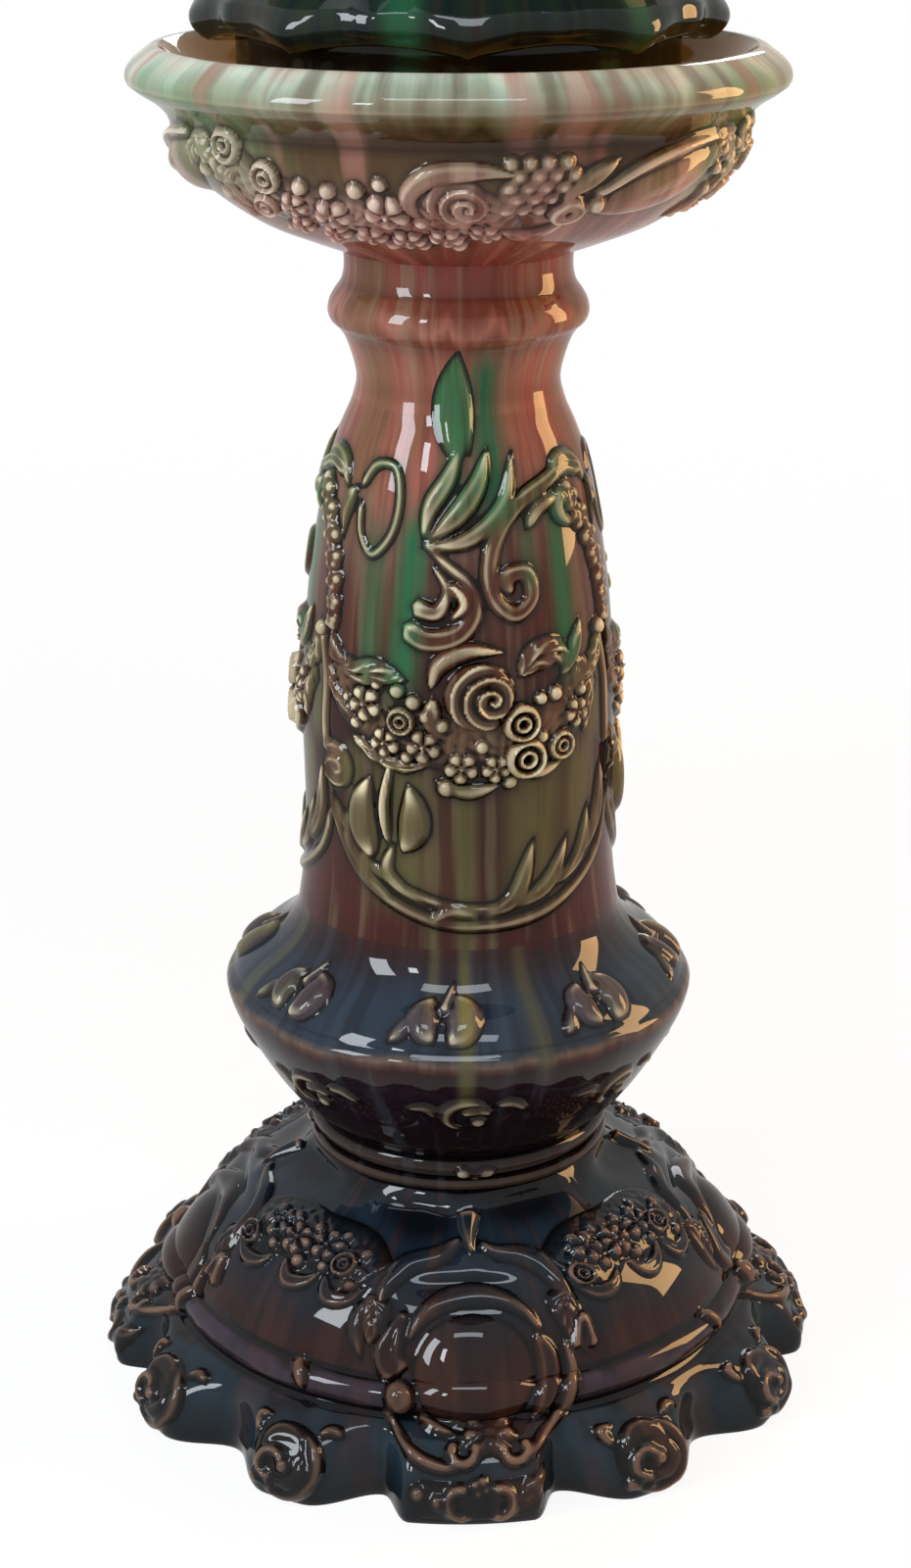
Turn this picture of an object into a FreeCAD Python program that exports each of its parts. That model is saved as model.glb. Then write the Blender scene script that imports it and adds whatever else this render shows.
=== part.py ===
"""Jardiniere on its pedestal stand, in glazed earthenware.

The stand is a stack of hollow cast sections, stuck together with slip before firing: a domed foot
with a scalloped skirt, a ringed knop, a swelling column, a collared neck and a shallow dish. The
jardiniere is a separate pot that stands loose in the dish. Relief ornament is seated on the walls.

Millimetres, +Z up, origin on the floor at the middle of the foot, front towards -Y. An azimuth is
in degrees about Z from the front towards +X. Round walls are made of many narrow flats, which
keeps the whole model light; SIDES and FLAT_TURN say how fine they are.
"""

import FreeCAD
import Part
import cmath
import math
import os

V = FreeCAD.Vector
AXIS = V(0, 0, 1)
CENTRE = V(0, 0, 0)

# ---------------------------------------------------------------- driving dimensions
SIDES = 36                       # flats round the outside of every wall
INNER_SIDES = 18                 # flats round the hidden inside of a section
RELIEF_SIDES = 12                # flats round a large boss
BUD_SIDES = 6                    # flats round a small one
FLAT_TURN = 26.0                 # degrees of an outline's curve that one flat takes up
RELIEF_TURN = 44.0               # the same, on relief

wall = 8.0                       # cast thickness of the stand

# foot: scalloped skirt, roll moulding and dome
foot_height = 118.0
foot_radius = 180.0              # lobe tips
notch_radius = 160.0             # bottom of the scallops
shoulder_share = 0.65            # how much of a round lobe's depth is left where it turns into a scallop
quarter_share = 0.9              # the same, half way from the lobe's middle to its shoulder
corner_drop = 1.0                # how far the corners of a flat lobe lie in from its tip
lobe_count = 12
lobe_half_angle = 9.0            # degrees from the middle of a round lobe to its shoulder
flat_lobe_every = 3              # every third lobe is flat-fronted, under a medallion
flat_half_angle = 11.0           # degrees from the middle of a flat lobe to its corner
rim_height = 11.0                # upright edge of the skirt
skirt_middle_height = 26.0
skirt_middle_share = 0.62        # how much of the lobes' stand-out is left at that height
skirt_top_radius = 152.0
skirt_top_height = 36.0
groove_depth = 3.0               # level step behind the skirt
roll_radius = 144.0              # foot of the roll moulding
roll_base_height = 39.0
roll_top_height = 52.0
roll_lean = 1.0                  # how far the roll draws in from its foot to its top
roll_swell = 5.0
dome_radius = 108.0              # where the dome turns from full to hollow
dome_height = 93.0
dome_swell = 4.5
dome_hollow = 2.5
base_neck_radius = 72.0          # joint of foot and knop

# knop, heights from its own joint with the foot
knop_height = 132.0
ring_step = 3.5                  # how far the two stepped rings stand out
ring_height = 6.0
ring_gap = 4.0
knop_radius = 116.0
knop_crest = 88.0
knop_swell = 5.0
knop_turn_radius = 92.0          # where the top of the knop turns hollow
knop_turn = 111.0
knop_top_swell = 2.0
knop_top_hollow = 2.5

# column, heights from its own joint with the knop
column_height = 250.0
column_foot_radius = 79.0
column_waist_radius = 75.5
column_waist = 45.0
column_body_radius = 74.5
column_body = 130.0
column_shoulder_radius = 62.0
column_shoulder = 217.0
column_swell = 2.2
column_waist_hollow = 0.55
column_body_swell = 1.1
neck_radius = 50.0               # joint of column and neck

# neck with its collar ring, heights from its own joint with the column
neck_height = 68.0
neck_hollow = 2.8
collar_radius = 53.0
collar_base = 28.0
collar_height = 24.0
collar_swell = 5.5
collar_flare = 2.5
dish_joint_radius = 53.5

# dish, heights from its own joint with the neck
dish_height = 92.0
bowl_radius = 109.0
bowl_rise = 26.5
bowl_swell = 4.5
bowl_top_radius = 130.5
bowl_top = 58.0
bowl_top_swell = 3.5
rim_foot_radius = 145.0
rim_foot = 70.0
rim_hollow = 2.0
rim_crest_radius = 142.0
rim_crest = 88.0
rim_swell = 5.6
lip_radius = 139.0
lip_width = 6.0
recess_depth = 20.0              # from the lip down to the floor that the pot stands on
recess_radius = 122.0
dish_floor = 9.0

# jardiniere, heights from the dish floor
pot_wall = 9.0
pot_height = 276.0
pot_ring_radius = 100.0
pot_ring_height = 15.0
apron_radius = 112.0             # lower edge of the apron round the pot's foot
apron_base = 22.0
apron_crest_radius = 118.0
apron_crest = 36.0
scallop_count = 9                # arches in the apron's lower edge
scallop_rise = 6.0
pot_waist_radius = 103.0
pot_waist = 58.0
pot_waist_hollow = 4.0
belly_radius = 158.0
belly = 150.0
belly_swell = 14.0
mouth_radius = 126.0
mouth = 228.0
mouth_swell = 9.0
flare_radius = 153.0
flare_hollow = 7.0
pot_rim = 10.0

# relief
relief = 4.0                     # how far ordinary ornament stands out of its wall
stroke = 9.0                     # width of the moulded scrolls
bed = 26.0                       # how far a large boss's blank reaches back, before its wall cuts it
bud_bed = 9.0                    # the same, for a small one
boss_edge = 0.25                 # of a boss's rise, at its border
boss_top = 0.6                   # of a boss's radius, at its flat top
ringed_profile = [(1.0, 0.6), (0.8, 1.0), (0.5, 0.3), (0.25, 1.1)]  # shares of radius and rise
foot_panels = 4
medallion_radius = 33.0
medallion_rise = 5.0
medallion_reach = 146.0          # from the axis to the middle of a medallion
medallion_height = 55.0
medallion_tilt = 38.0            # degrees that a medallion leans back from upright
frame_gap = 1.5                  # between a medallion and the scroll round it
frame_width = 6.5
hood_gap = 8.0                   # between that scroll and the hood over it
hood_drop = 7.0                  # how far the hood lies below the medallion's edge
rosette_radius = 17.0
rosette_height = 27.0
rosette_sink = 3.5               # of a rosette's base below the face of its lobe
blossom_radius = 13.0
blossom_taper = 2.2              # how much smaller each outer blossom of a spray is
blossom_drop = 4.3               # how much lower and further out it lies
blossom_spread = 10.0            # degrees between the blossoms of a spray
blossom_tilt = 55.0
blossom_lift = 2.0
lobe_knob_radius = 7.2
lobe_scroll_reach = 12.0         # from the middle of a flat lobe to each of its scrolls
lobe_scroll_height = 20.0
lobe_scroll_sink = 2.6
leaf_pairs = 8                   # round the knop
leaf_turn = -4.0
leaf_length = 27.0
leaf_width = 12.0
column_panels = 3
column_turn = 6.0                # azimuth of the middle of the front panel
frame_base = 11.0                # bottom of the oval frame, from the column's joint
frame_half_angle = 58.0
frame_rise = 72.0                # from the bottom of the frame to its volutes
volute_radius = 12.0
volute_rise = 6.0
garland_height = 143.0           # ends of the garland, from the column's joint
garland_sag = 54.0
garland_depth = 28.0
garland_half_angle = 52.0
rose_radius = 17.0
rose_rise = 9.0
rose_height = 125.0
bud_radius = 8.5
bud_rise = 4.5
bud_lift = 2.5                   # of a bud's base from the wall's straight line
bud_turn = 17.0                  # azimuth of a bud from the rose it is beside
bud_drop = 30.0
blade_length = 34.0              # leaf at the top of each panel
blade_top = 243.0
blade_width = 17.0
curl_height = 168.0              # curls over the garland
curl_rise = 32.0
chain_turn = 60.0                # azimuth of the flower chain from the middle of its panel
chain_count = 3
chain_top = 212.0
chain_pitch = 27.0
dish_panels = 3
dish_garland_turn = -19.0
dish_garland_half_angle = 33.0
dish_garland_height = 42.0       # ends of the dish's garland, from the dish's joint
dish_garland_sag = 12.0
dish_garland_depth = 15.0
cartouche_turn = 41.0
cartouche_width = 44.0
cartouche_height = 24.0
cartouche_level = 43.0
pot_panels = 4
pot_boss_radius = 22.0
pot_boss_sink = 1.0
pot_garland_height = 185.0
pot_garland_half_angle = 36.0
pot_garland_sag = 30.0
pot_garland_depth = 24.0
reach = 400.0                    # longer than any radius, for slabs that run right through a wall

# heights where the sections meet
knop_base = foot_height
column_base = knop_base + knop_height
neck_base = column_base + column_height
dish_base = neck_base + neck_height
stand_height = dish_base + dish_height
floor_height = stand_height - recess_depth


# ---------------------------------------------------------------- drawing
def flats(corners, flat_turn=FLAT_TURN):
    """Points along an outline of (x, z, bulge) corners.

    The bulge is how far the middle of the edge that arrives at the corner stands out to the right
    of travel. A corner without one ends a straight edge. The first corner's edge arrives from the
    last.
    """
    points = []
    for index, corner in enumerate(corners):
        end = complex(corner[0], corner[1])
        if len(corner) > 2:
            start = complex(corners[index - 1][0], corners[index - 1][1])
            turn = 4 * math.atan(2 * corner[2] / abs(end - start))
            count = max(2, math.ceil(abs(math.degrees(turn)) / flat_turn))
            for step in range(1, count):
                share = step / count
                chord = math.sin(share * turn / 2) / math.sin(turn / 2)
                point = start + (end - start) * chord * cmath.exp(1j * (share - 1) * turn / 2)
                points.append((point.real, point.imag))
        points.append((end.real, end.imag))
    return points


def ring(radii, height, sides=SIDES):
    """Ring of points about the axis, of one radius or one for each point, at one height or each."""
    radii = radii if isinstance(radii, list) else [radii] * sides
    heights = height if isinstance(height, list) else [height] * len(radii)
    step = 2 * math.pi / len(radii)
    places = enumerate(zip(radii, heights))
    return [V(radius * math.sin(i * step), -radius * math.cos(i * step), z) for i, (radius, z) in places]


def rings(corners, sides=SIDES):
    """Rings for every point of an outline of (radius, height, bulge) corners."""
    return [ring(radius, height, sides) for radius, height in flats(corners)]


def lofted(sections, closed=True):
    """Flat-faced solid through rings of points, traced up its outside.

    A closed one runs from its last ring back to its first, and an open one has a flat face on
    both. Two level rings of one height are joined by a flat ring, whatever their counts.
    """
    hoops = [[Part.makeLine(points[i - 1], points[i]) for i in range(len(points))] for points in sections]
    faces = []
    for upper in range(0 if closed else 1, len(sections)):
        lower = upper - 1
        low, high = sections[lower], sections[upper]
        heights = [point.z for point in low + high]
        if max(heights) - min(heights) < 1e-6:
            wires = [Part.Wire(hoops[upper]), Part.Wire(hoops[lower])]
            faces.append(Part.makeFace(wires, "Part::FaceMakerBullseye"))
            continue
        risers = [Part.makeLine(low[i], high[i]) for i in range(len(low))]
        for i in range(len(low)):
            twist = (high[i] - low[i]).cross(high[i - 1] - low[i]).dot(low[i - 1] - low[i])
            if abs(twist) < 1e-3:
                sides = [hoops[lower][i], risers[i], hoops[upper][i], risers[i - 1]]
                faces.append(Part.Face(Part.Wire(sides)))
                continue
            brace = Part.makeLine(low[i], high[i - 1])
            faces.append(Part.Face(Part.Wire([hoops[lower][i], brace, risers[i - 1]])))
            faces.append(Part.Face(Part.Wire([hoops[upper][i], risers[i], brace])))
    if not closed:
        faces.append(Part.Face(Part.Wire(hoops[0])))
        faces.append(Part.Face(Part.Wire(hoops[-1])))
    shell = Part.Shell(faces)
    shell.sewShape()
    solid = Part.Solid(shell)
    if solid.Volume < 0:
        solid.reverse()
    return solid


def form_of(corners, sides=SIDES):
    """Solid form inside an outline."""
    return lofted(rings(corners, sides), closed=False)


def hollowed(corners, hollow):
    """Section with an outer outline and the (radius, height) corners of its hollow, top first."""
    return lofted(rings(corners) + rings(hollow, INNER_SIDES))


def plate(corners):
    """Slab facing the front, drawn as (x, z, bulge) corners, from the axis outwards."""
    points = [V(x, 0, z) for x, z in flats(corners, RELIEF_TURN)]
    return Part.Face(Part.makePolygon(points + points[:1])).extrude(V(0, -reach, 0))


def about_axis(shape, azimuth):
    """Copy of a shape, turned to an azimuth."""
    copy = shape.copy()
    copy.rotate(CENTRE, AXIS, azimuth)
    return copy


def repeated(shapes, count, first=0.0):
    """Copies of some shapes, repeated evenly round the axis."""
    return [about_axis(shape, first + i * 360.0 / count) for i in range(count) for shape in shapes]


def group(shapes):
    """Compound of the solids of some shapes."""
    return Part.makeCompound([solid for shape in shapes for solid in shape.Solids])


def seated(shapes, carrier):
    """What is left of some shapes outside the form that carries them."""
    return group([shape.cut(carrier) for shape in shapes])


def raised(slabs, layer):
    """What some slabs cut out of the layer on a wall."""
    return group([slab.common(layer) for slab in slabs])


def joined(pieces):
    """Pieces of one ornament as one shape, with nothing overlapping."""
    return pieces[0].multiFuse(pieces[1:])


def leaf(start, end, width, bend=0.0):
    """Slab for a leaf or stroke, pointed at both ends, its middle bent to the right of travel."""
    return plate([(start[0], start[1], width / 2 - bend), (end[0], end[1], width / 2 + bend)])


def swag(half_angle, radius, ends, sag, depth):
    """Slab for a garland: a crescent hanging between two points of one height."""
    half = radius * math.sin(math.radians(half_angle))
    return plate([(-half, ends, -(sag - depth)), (half, ends, sag)])


def boss(radius, rise, depth=bud_bed, sides=BUD_SIDES):
    """Domed boss about +Z, with its blank below it."""
    return form_of([(radius, -depth), (radius, rise * boss_edge), (radius * boss_top, rise)], sides)


def ringed_boss(radius, rise, depth=bud_bed, sides=BUD_SIDES):
    """Boss about +Z with a raised border, a groove and a raised heart."""
    above = [(radius * across, rise * up) for across, up in ringed_profile]
    return form_of([(radius, -depth)] + above, sides)


def laid(shape, radius, height, tilt=0.0, azimuth=0.0):
    """Shape made about +Z, laid on a wall so that its +Z leans tilt degrees up from outwards."""
    copy = shape.copy()
    copy.rotate(CENTRE, V(1, 0, 0), 90 - tilt)
    copy.translate(V(0, -radius, height))
    return about_axis(copy, azimuth)


# ---------------------------------------------------------------- outlines of the walls
def lobe_radii():
    """Radius of the skirt's edge, six points to a lobe, from the front lobe's middle."""
    depth = foot_radius - notch_radius
    round_sides = [notch_radius + depth * quarter_share, notch_radius + depth * shoulder_share]
    flat_sides = [foot_radius, foot_radius - corner_drop]
    radii = []
    for index in range(lobe_count):
        sides = round_sides if index % flat_lobe_every else flat_sides
        next_sides = round_sides if (index + 1) % flat_lobe_every else flat_sides
        radii += [foot_radius] + sides + [notch_radius] + next_sides[::-1]
    return radii


def lobe_lean():
    """Degrees that the face of a lobe leans back from upright."""
    return math.degrees(math.atan2(foot_radius - skirt_top_radius, skirt_top_height - rim_height))


def lobe_face(height):
    """Radius of the face of a lobe's middle at a height above its upright edge."""
    if height < skirt_middle_height:
        rise = skirt_middle_height - rim_height
        share = 1 - (1 - skirt_middle_share) * (height - rim_height) / rise
    else:
        rise = skirt_top_height - skirt_middle_height
        share = skirt_middle_share * (skirt_top_height - height) / rise
    return skirt_top_radius + (foot_radius - skirt_top_radius) * share


def skirt_ring(share, height, inset=0.0):
    """Ring of the skirt where this share of the lobes' stand-out is left."""
    radii = [skirt_top_radius + (radius - skirt_top_radius) * share - inset for radius in lobe_radii()]
    return ring(radii, height)


def foot_rings():
    """Outside of the foot: the lobed skirt, then the round roll and dome."""
    return [
        skirt_ring(1, 0),
        skirt_ring(1, rim_height),
        skirt_ring(skirt_middle_share, skirt_middle_height),
        skirt_ring(0, skirt_top_height),
    ] + rings([
        (skirt_top_radius - groove_depth, skirt_top_height),
        (roll_radius, roll_base_height),
        (roll_radius - roll_lean, roll_top_height, roll_swell),
        (dome_radius, dome_height, dome_swell),
        (base_neck_radius, foot_height, -dome_hollow),
    ])


def knop_corners(proud=0.0):
    """Outer outline of the knop; proud moves it outwards."""
    first = knop_base + ring_gap / 2
    second = first + ring_height + ring_gap
    return [
        (base_neck_radius + proud, knop_base),
        (base_neck_radius + ring_step + proud, first),
        (base_neck_radius + ring_step + proud, first + ring_height),
        (base_neck_radius + proud, first + ring_height + ring_gap / 2),
        (base_neck_radius + ring_step + proud, second),
        (base_neck_radius + ring_step + proud, second + ring_height),
        (base_neck_radius + ring_step / 2 + proud, second + ring_height + ring_gap / 2),
        (knop_radius + proud, knop_base + knop_crest, knop_swell),
        (knop_turn_radius + proud, knop_base + knop_turn + proud, knop_top_swell),
        (column_foot_radius + proud, column_base + proud, -knop_top_hollow),
    ]


def column_corners(proud=0.0):
    """Outer outline of the column; proud moves it outwards."""
    return [
        (column_foot_radius + proud, column_base),
        (column_waist_radius + proud, column_base + column_waist, -column_waist_hollow),
        (column_body_radius + proud, column_base + column_body, column_body_swell),
        (column_shoulder_radius + proud, column_base + column_shoulder, column_swell),
        (neck_radius + proud, neck_base),
    ]


def neck_corners():
    """Outer outline of the neck: a hollow, the collar ring and a cove under the dish."""
    return [
        (neck_radius, neck_base),
        (collar_radius, neck_base + collar_base, -neck_hollow),
        (collar_radius + collar_flare, neck_base + collar_base + collar_height, collar_swell),
        (dish_joint_radius, dish_base),
    ]


def bowl_corners(proud=0.0):
    """Outer outline of the dish below its rim; proud moves it out and down."""
    slant = proud * math.sqrt(0.5)
    return [
        (dish_joint_radius + slant, dish_base - slant),
        (bowl_radius + slant, dish_base + bowl_rise - slant, bowl_swell),
        (bowl_top_radius + proud, dish_base + bowl_top, bowl_top_swell),
    ]


def belly_corners(proud=0.0):
    """Outer outline of the pot from its waist to its mouth; proud moves it outwards."""
    return [
        (pot_waist_radius + proud, floor_height + pot_waist),
        (belly_radius + proud, floor_height + belly, belly_swell),
        (mouth_radius + proud, floor_height + mouth, mouth_swell),
    ]


def skin(corners_of):
    """Layer as thick as the relief, on the outside of a wall."""
    return lofted(rings(corners_of(relief)) + rings(corners_of())[::-1])


# ---------------------------------------------------------------- sections of the stand
def stand_foot():
    """Domed foot, hollow and open below, with its hollow following the skirt's lobes."""
    hollow = rings([
        (base_neck_radius - wall, foot_height),
        (dome_radius - wall, dome_height - wall),
        (roll_radius - wall, roll_top_height - wall),
        (roll_radius - 2 * wall, skirt_top_height - wall),
    ], INNER_SIDES)
    under_skirt = [
        skirt_ring(0, skirt_top_height - wall, wall),
        skirt_ring(skirt_middle_share, skirt_middle_height - wall, wall),
        skirt_ring(1, 0, wall),
    ]
    return lofted(foot_rings() + hollow + under_skirt)


def stand_knop():
    """Ringed knop, open into the foot and the column."""
    return hollowed(knop_corners(), [
        (column_foot_radius - wall, column_base),
        (knop_turn_radius - wall, knop_base + knop_turn - wall),
        (knop_radius - wall, knop_base + knop_crest - wall / 2),
        (base_neck_radius - wall, knop_base + 2 * (ring_height + ring_gap)),
        (base_neck_radius - wall, knop_base),
    ])


def stand_column():
    """Swelling shaft of the stand."""
    return hollowed(column_corners(), [
        (neck_radius - wall, neck_base),
        (column_shoulder_radius - wall, column_base + column_shoulder),
        (column_body_radius - wall, column_base + column_body),
        (column_foot_radius - wall, column_base),
    ])


def stand_neck():
    """Neck with its collar ring."""
    return hollowed(neck_corners(), [
        (dish_joint_radius - wall, dish_base),
        (collar_radius - wall, neck_base + collar_base + collar_height / 2),
        (neck_radius - wall, neck_base),
    ])


def stand_dish():
    """Dish with a hollow bowl, a rolled rim and the recess that the pot stands in."""
    hollow = rings([
        (bowl_top_radius - 2 * wall, floor_height - dish_floor),
        (bowl_radius - wall, dish_base + bowl_rise + wall / 2),
        (dish_joint_radius - wall, dish_base),
    ], INNER_SIDES)
    rim_and_recess = rings(bowl_corners() + [
        (rim_foot_radius, dish_base + rim_foot, -rim_hollow),
        (rim_crest_radius, dish_base + rim_crest, rim_swell),
        (lip_radius, stand_height),
        (lip_radius - lip_width, stand_height),
        (recess_radius, floor_height),
    ])
    return lofted(hollow + rim_and_recess, closed=False)


# ---------------------------------------------------------------- jardiniere
def jardiniere_foot():
    """Foot of the pot: standing ring, base plate and an apron with a scalloped lower edge."""
    plate_height = floor_height + pot_ring_height
    turn = 2 * math.pi * scallop_count / SIDES
    edge = [floor_height + apron_base + scallop_rise * abs(math.sin(i * turn / 2)) for i in range(SIDES)]
    under = rings([
        (pot_ring_radius - pot_wall, plate_height),
        (pot_ring_radius - pot_wall, floor_height),
    ])
    outside = [ring(pot_ring_radius, floor_height), ring(pot_ring_radius, edge), ring(apron_radius, edge)]
    top = rings([
        (apron_crest_radius, floor_height + apron_crest),
        (pot_waist_radius, floor_height + pot_waist),
        (pot_waist_radius - pot_wall, floor_height + pot_waist),
        (pot_ring_radius - pot_wall, plate_height + pot_wall),
    ])
    return lofted(under + outside + top, closed=False)


def jardiniere_bowl():
    """Bowl of the pot, from its waist to its flared mouth."""
    top = floor_height + pot_height
    return hollowed(belly_corners() + [
        (flare_radius, top - pot_rim, -flare_hollow),
        (flare_radius, top),
    ], [
        (flare_radius - pot_wall, top),
        (mouth_radius - pot_wall, floor_height + mouth, flare_hollow),
        (belly_radius - pot_wall, floor_height + belly, -mouth_swell),
        (pot_waist_radius - pot_wall, floor_height + pot_waist, -belly_swell),
    ])


# ---------------------------------------------------------------- relief
def foot_medallions(foot):
    """Domed round medallions that bridge the roll moulding."""
    plaque = boss(medallion_radius, medallion_rise, bed, RELIEF_SIDES)
    piece = laid(plaque, medallion_reach, medallion_height, medallion_tilt)
    return seated(repeated([piece], foot_panels), foot)


def band(inner, outer, low):
    """Ring about +Z with a sloping crest, for the scrolls round a medallion."""
    corners = [(outer, -bed), (outer, low + relief / 2), (inner, low + relief), (inner, -bed)]
    return lofted(rings(corners, RELIEF_SIDES))


def foot_scroll_frames(foot):
    """Scroll round each medallion, open at the bottom, and the hood over it."""
    inner = medallion_radius + frame_gap
    outer = inner + frame_width
    frame = band(inner, outer, 0)
    hood = band(outer + hood_gap, outer + hood_gap + stroke, -hood_drop)
    width = 2 * medallion_radius
    gate = Part.makeBox(width, width, 2 * reach, V(-width / 2, -width, -reach))
    below = Part.makeBox(reach, reach, 2 * reach, V(-reach / 2, -reach, -reach))
    pieces = [frame.cut(gate), hood.cut(below)]
    scrolls = [laid(piece, medallion_reach, medallion_height, medallion_tilt) for piece in pieces]
    return seated(repeated(scrolls, foot_panels), foot)


def foot_rosettes(foot):
    """Ringed rosette on each round lobe of the skirt."""
    reach_out = lobe_face(rosette_height) - rosette_sink
    rosette = laid(ringed_boss(rosette_radius, relief), reach_out, rosette_height, lobe_lean())
    pitch = 360.0 / lobe_count
    pair = [about_axis(rosette, step * pitch) for step in range(1, flat_lobe_every)]
    return seated(repeated(pair, foot_panels), foot)


def foot_sprays(foot):
    """Spray of blossoms on the dome, between the medallions."""
    blossoms = []
    for step in (-1, 0, 1):
        blossom = boss(blossom_radius - abs(step) * blossom_taper, relief)
        drop = abs(step) * blossom_drop
        radius, height = dome_radius + blossom_lift + drop, dome_height - drop
        blossoms.append(laid(blossom, radius, height, blossom_tilt, step * blossom_spread))
    return seated(repeated([joined(blossoms)], foot_panels, 180.0 / foot_panels), foot)


def foot_lobe_scrolls(foot):
    """Pair of scrolls on each flat lobe of the skirt, under its medallion."""
    reach_out = lobe_face(lobe_scroll_height) - lobe_scroll_sink
    knobs = []
    for side in (-1, 1):
        knob = laid(boss(lobe_knob_radius, relief), reach_out, lobe_scroll_height, lobe_lean())
        knob.translate(V(side * lobe_scroll_reach, 0, 0))
        knobs.append(knob)
    return seated(repeated(knobs, foot_panels), foot)


def knop_leaves():
    """Leaf pairs round the shoulder of the knop."""
    low = knop_base + knop_crest + relief
    pair = []
    for side in (-1, 1):
        tip = (side * leaf_length / 2, low + leaf_length)
        pair.append(leaf((side, low), tip, leaf_width, side * leaf_width / 4))
    return raised(repeated(pair, leaf_pairs, leaf_turn), skin(knop_corners))


def column_frames(layer, column):
    """Lower half of each oval frame: a band hanging between two volutes."""
    top = column_base + frame_base + frame_rise
    half = column_body_radius * math.sin(math.radians(frame_half_angle))
    outer = [(-half, top), (half, top, frame_rise)]
    inner = [(half - stroke, top), (-half + stroke, top, stroke - frame_rise)]
    bands = repeated([plate(outer + inner)], column_panels, column_turn)
    volute = boss(volute_radius, volute_rise)
    ends = [laid(volute, column_waist_radius, top, 0, side * frame_half_angle) for side in (-1, 1)]
    pairs = repeated([Part.makeCompound(ends)], column_panels, column_turn)
    return group([joined([b.common(layer)] + seated(p.Solids, column).Solids) for b, p in zip(bands, pairs)])


def column_garlands(layer):
    """Garland hung across each oval."""
    ends = column_base + garland_height
    crescent = swag(garland_half_angle, column_body_radius, ends, garland_sag, garland_depth)
    return raised(repeated([crescent], column_panels, column_turn), layer)


def column_roses(clear):
    """Rose on the middle of each garland, with a bud each side; clear is the wall with its garlands."""
    surface = column_body_radius + relief
    height = column_base + rose_height
    flowers = [laid(ringed_boss(rose_radius, rose_rise), surface, height)]
    for side in (-1, 1):
        flowers.append(laid(boss(bud_radius, bud_rise), surface, height - bud_drop, 0, side * bud_turn))
    return seated(repeated(flowers, column_panels, column_turn), clear)


def column_leaves(layer):
    """Leaf at the top of each panel, with a pair of curls under it."""
    top = column_base + blade_top
    blade = leaf((0, top - blade_length), (0, top), blade_width)
    low = column_base + curl_height
    slabs = [blade]
    for side in (-1, 1):
        tip = (side * stroke, low + curl_rise)
        slabs.append(leaf((side * stroke / 4, low), tip, stroke, side * stroke / 3))
    return raised(repeated(slabs, column_panels, column_turn), layer)


def column_chains(column):
    """Chain of flowers down the column between two panels."""
    flowers = []
    for index in range(chain_count):
        height = column_base + chain_top - index * chain_pitch
        share = min(index * chain_pitch / (column_shoulder - column_body), 1)
        surface = column_shoulder_radius + (column_body_radius - column_shoulder_radius) * share
        flowers.append(laid(boss(bud_radius, bud_rise), surface + bud_lift, height))
    return seated(repeated(flowers, column_panels, column_turn + chain_turn), column)


def dish_garlands(layer):
    """Garland of flowers under the rim of the dish."""
    height = dish_base + dish_garland_height
    sag = dish_garland_sag + dish_garland_depth
    crescent = swag(dish_garland_half_angle, bowl_radius, height, sag, dish_garland_depth)
    return raised(repeated([crescent], dish_panels, dish_garland_turn), layer)


def dish_cartouches(layer):
    """Oval plaque between two of the dish's garlands."""
    half = cartouche_width / 2
    level = dish_base + cartouche_level
    oval = plate([(-half, level, cartouche_height / 2), (half, level, cartouche_height / 2)])
    return raised(repeated([oval], dish_panels, cartouche_turn), layer)


def jardiniere_garlands(layer):
    """Garland on the front, back and sides of the pot."""
    level = floor_height + pot_garland_height
    sag = pot_garland_sag + pot_garland_depth
    crescent = swag(pot_garland_half_angle, belly_radius, level, sag, pot_garland_depth)
    return raised(repeated([crescent], pot_panels), layer)


def jardiniere_bosses(belly_form):
    """Round rose between two of the pot's garlands."""
    rose = laid(ringed_boss(pot_boss_radius, relief), belly_radius - pot_boss_sink, floor_height + belly)
    return seated(repeated([rose], pot_panels, 180.0 / pot_panels), belly_form)


def build():
    """Every node of the object, by name."""
    foot = lofted(foot_rings(), closed=False)
    column = form_of(column_corners())
    column_skin = skin(column_corners)
    dish_skin = skin(bowl_corners)
    belly_skin = skin(belly_corners)
    garlands = column_garlands(column_skin)
    return {
        "stand_foot": stand_foot(),
        "stand_knop": stand_knop(),
        "stand_column": stand_column(),
        "stand_neck": stand_neck(),
        "stand_dish": stand_dish(),
        "jardiniere_foot": jardiniere_foot(),
        "jardiniere_bowl": jardiniere_bowl(),
        "foot_medallions": foot_medallions(foot),
        "foot_scroll_frames": foot_scroll_frames(foot),
        "foot_rosettes": foot_rosettes(foot),
        "foot_sprays": foot_sprays(foot),
        "foot_lobe_scrolls": foot_lobe_scrolls(foot),
        "knop_leaves": knop_leaves(),
        "column_frames": column_frames(column_skin, column),
        "column_garlands": garlands,
        "column_roses": column_roses(column.multiFuse(garlands.Solids)),
        "column_leaves": column_leaves(column_skin),
        "column_chains": column_chains(column),
        "dish_garlands": dish_garlands(dish_skin),
        "dish_cartouches": dish_cartouches(dish_skin),
        "jardiniere_garlands": jardiniere_garlands(belly_skin),
        "jardiniere_bosses": jardiniere_bosses(form_of(belly_corners())),
    }


def main():
    """Write one file per node."""
    os.makedirs("parts", exist_ok=True)
    for name, shape in build().items():
        state = "" if shape.isValid() else " not valid"
        print(f"{name}: {len(shape.Solids)} solids, {shape.Volume / 1000:.1f} cm3{state}")
        shape.exportStep(f"parts/{name}.step")


main()
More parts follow.
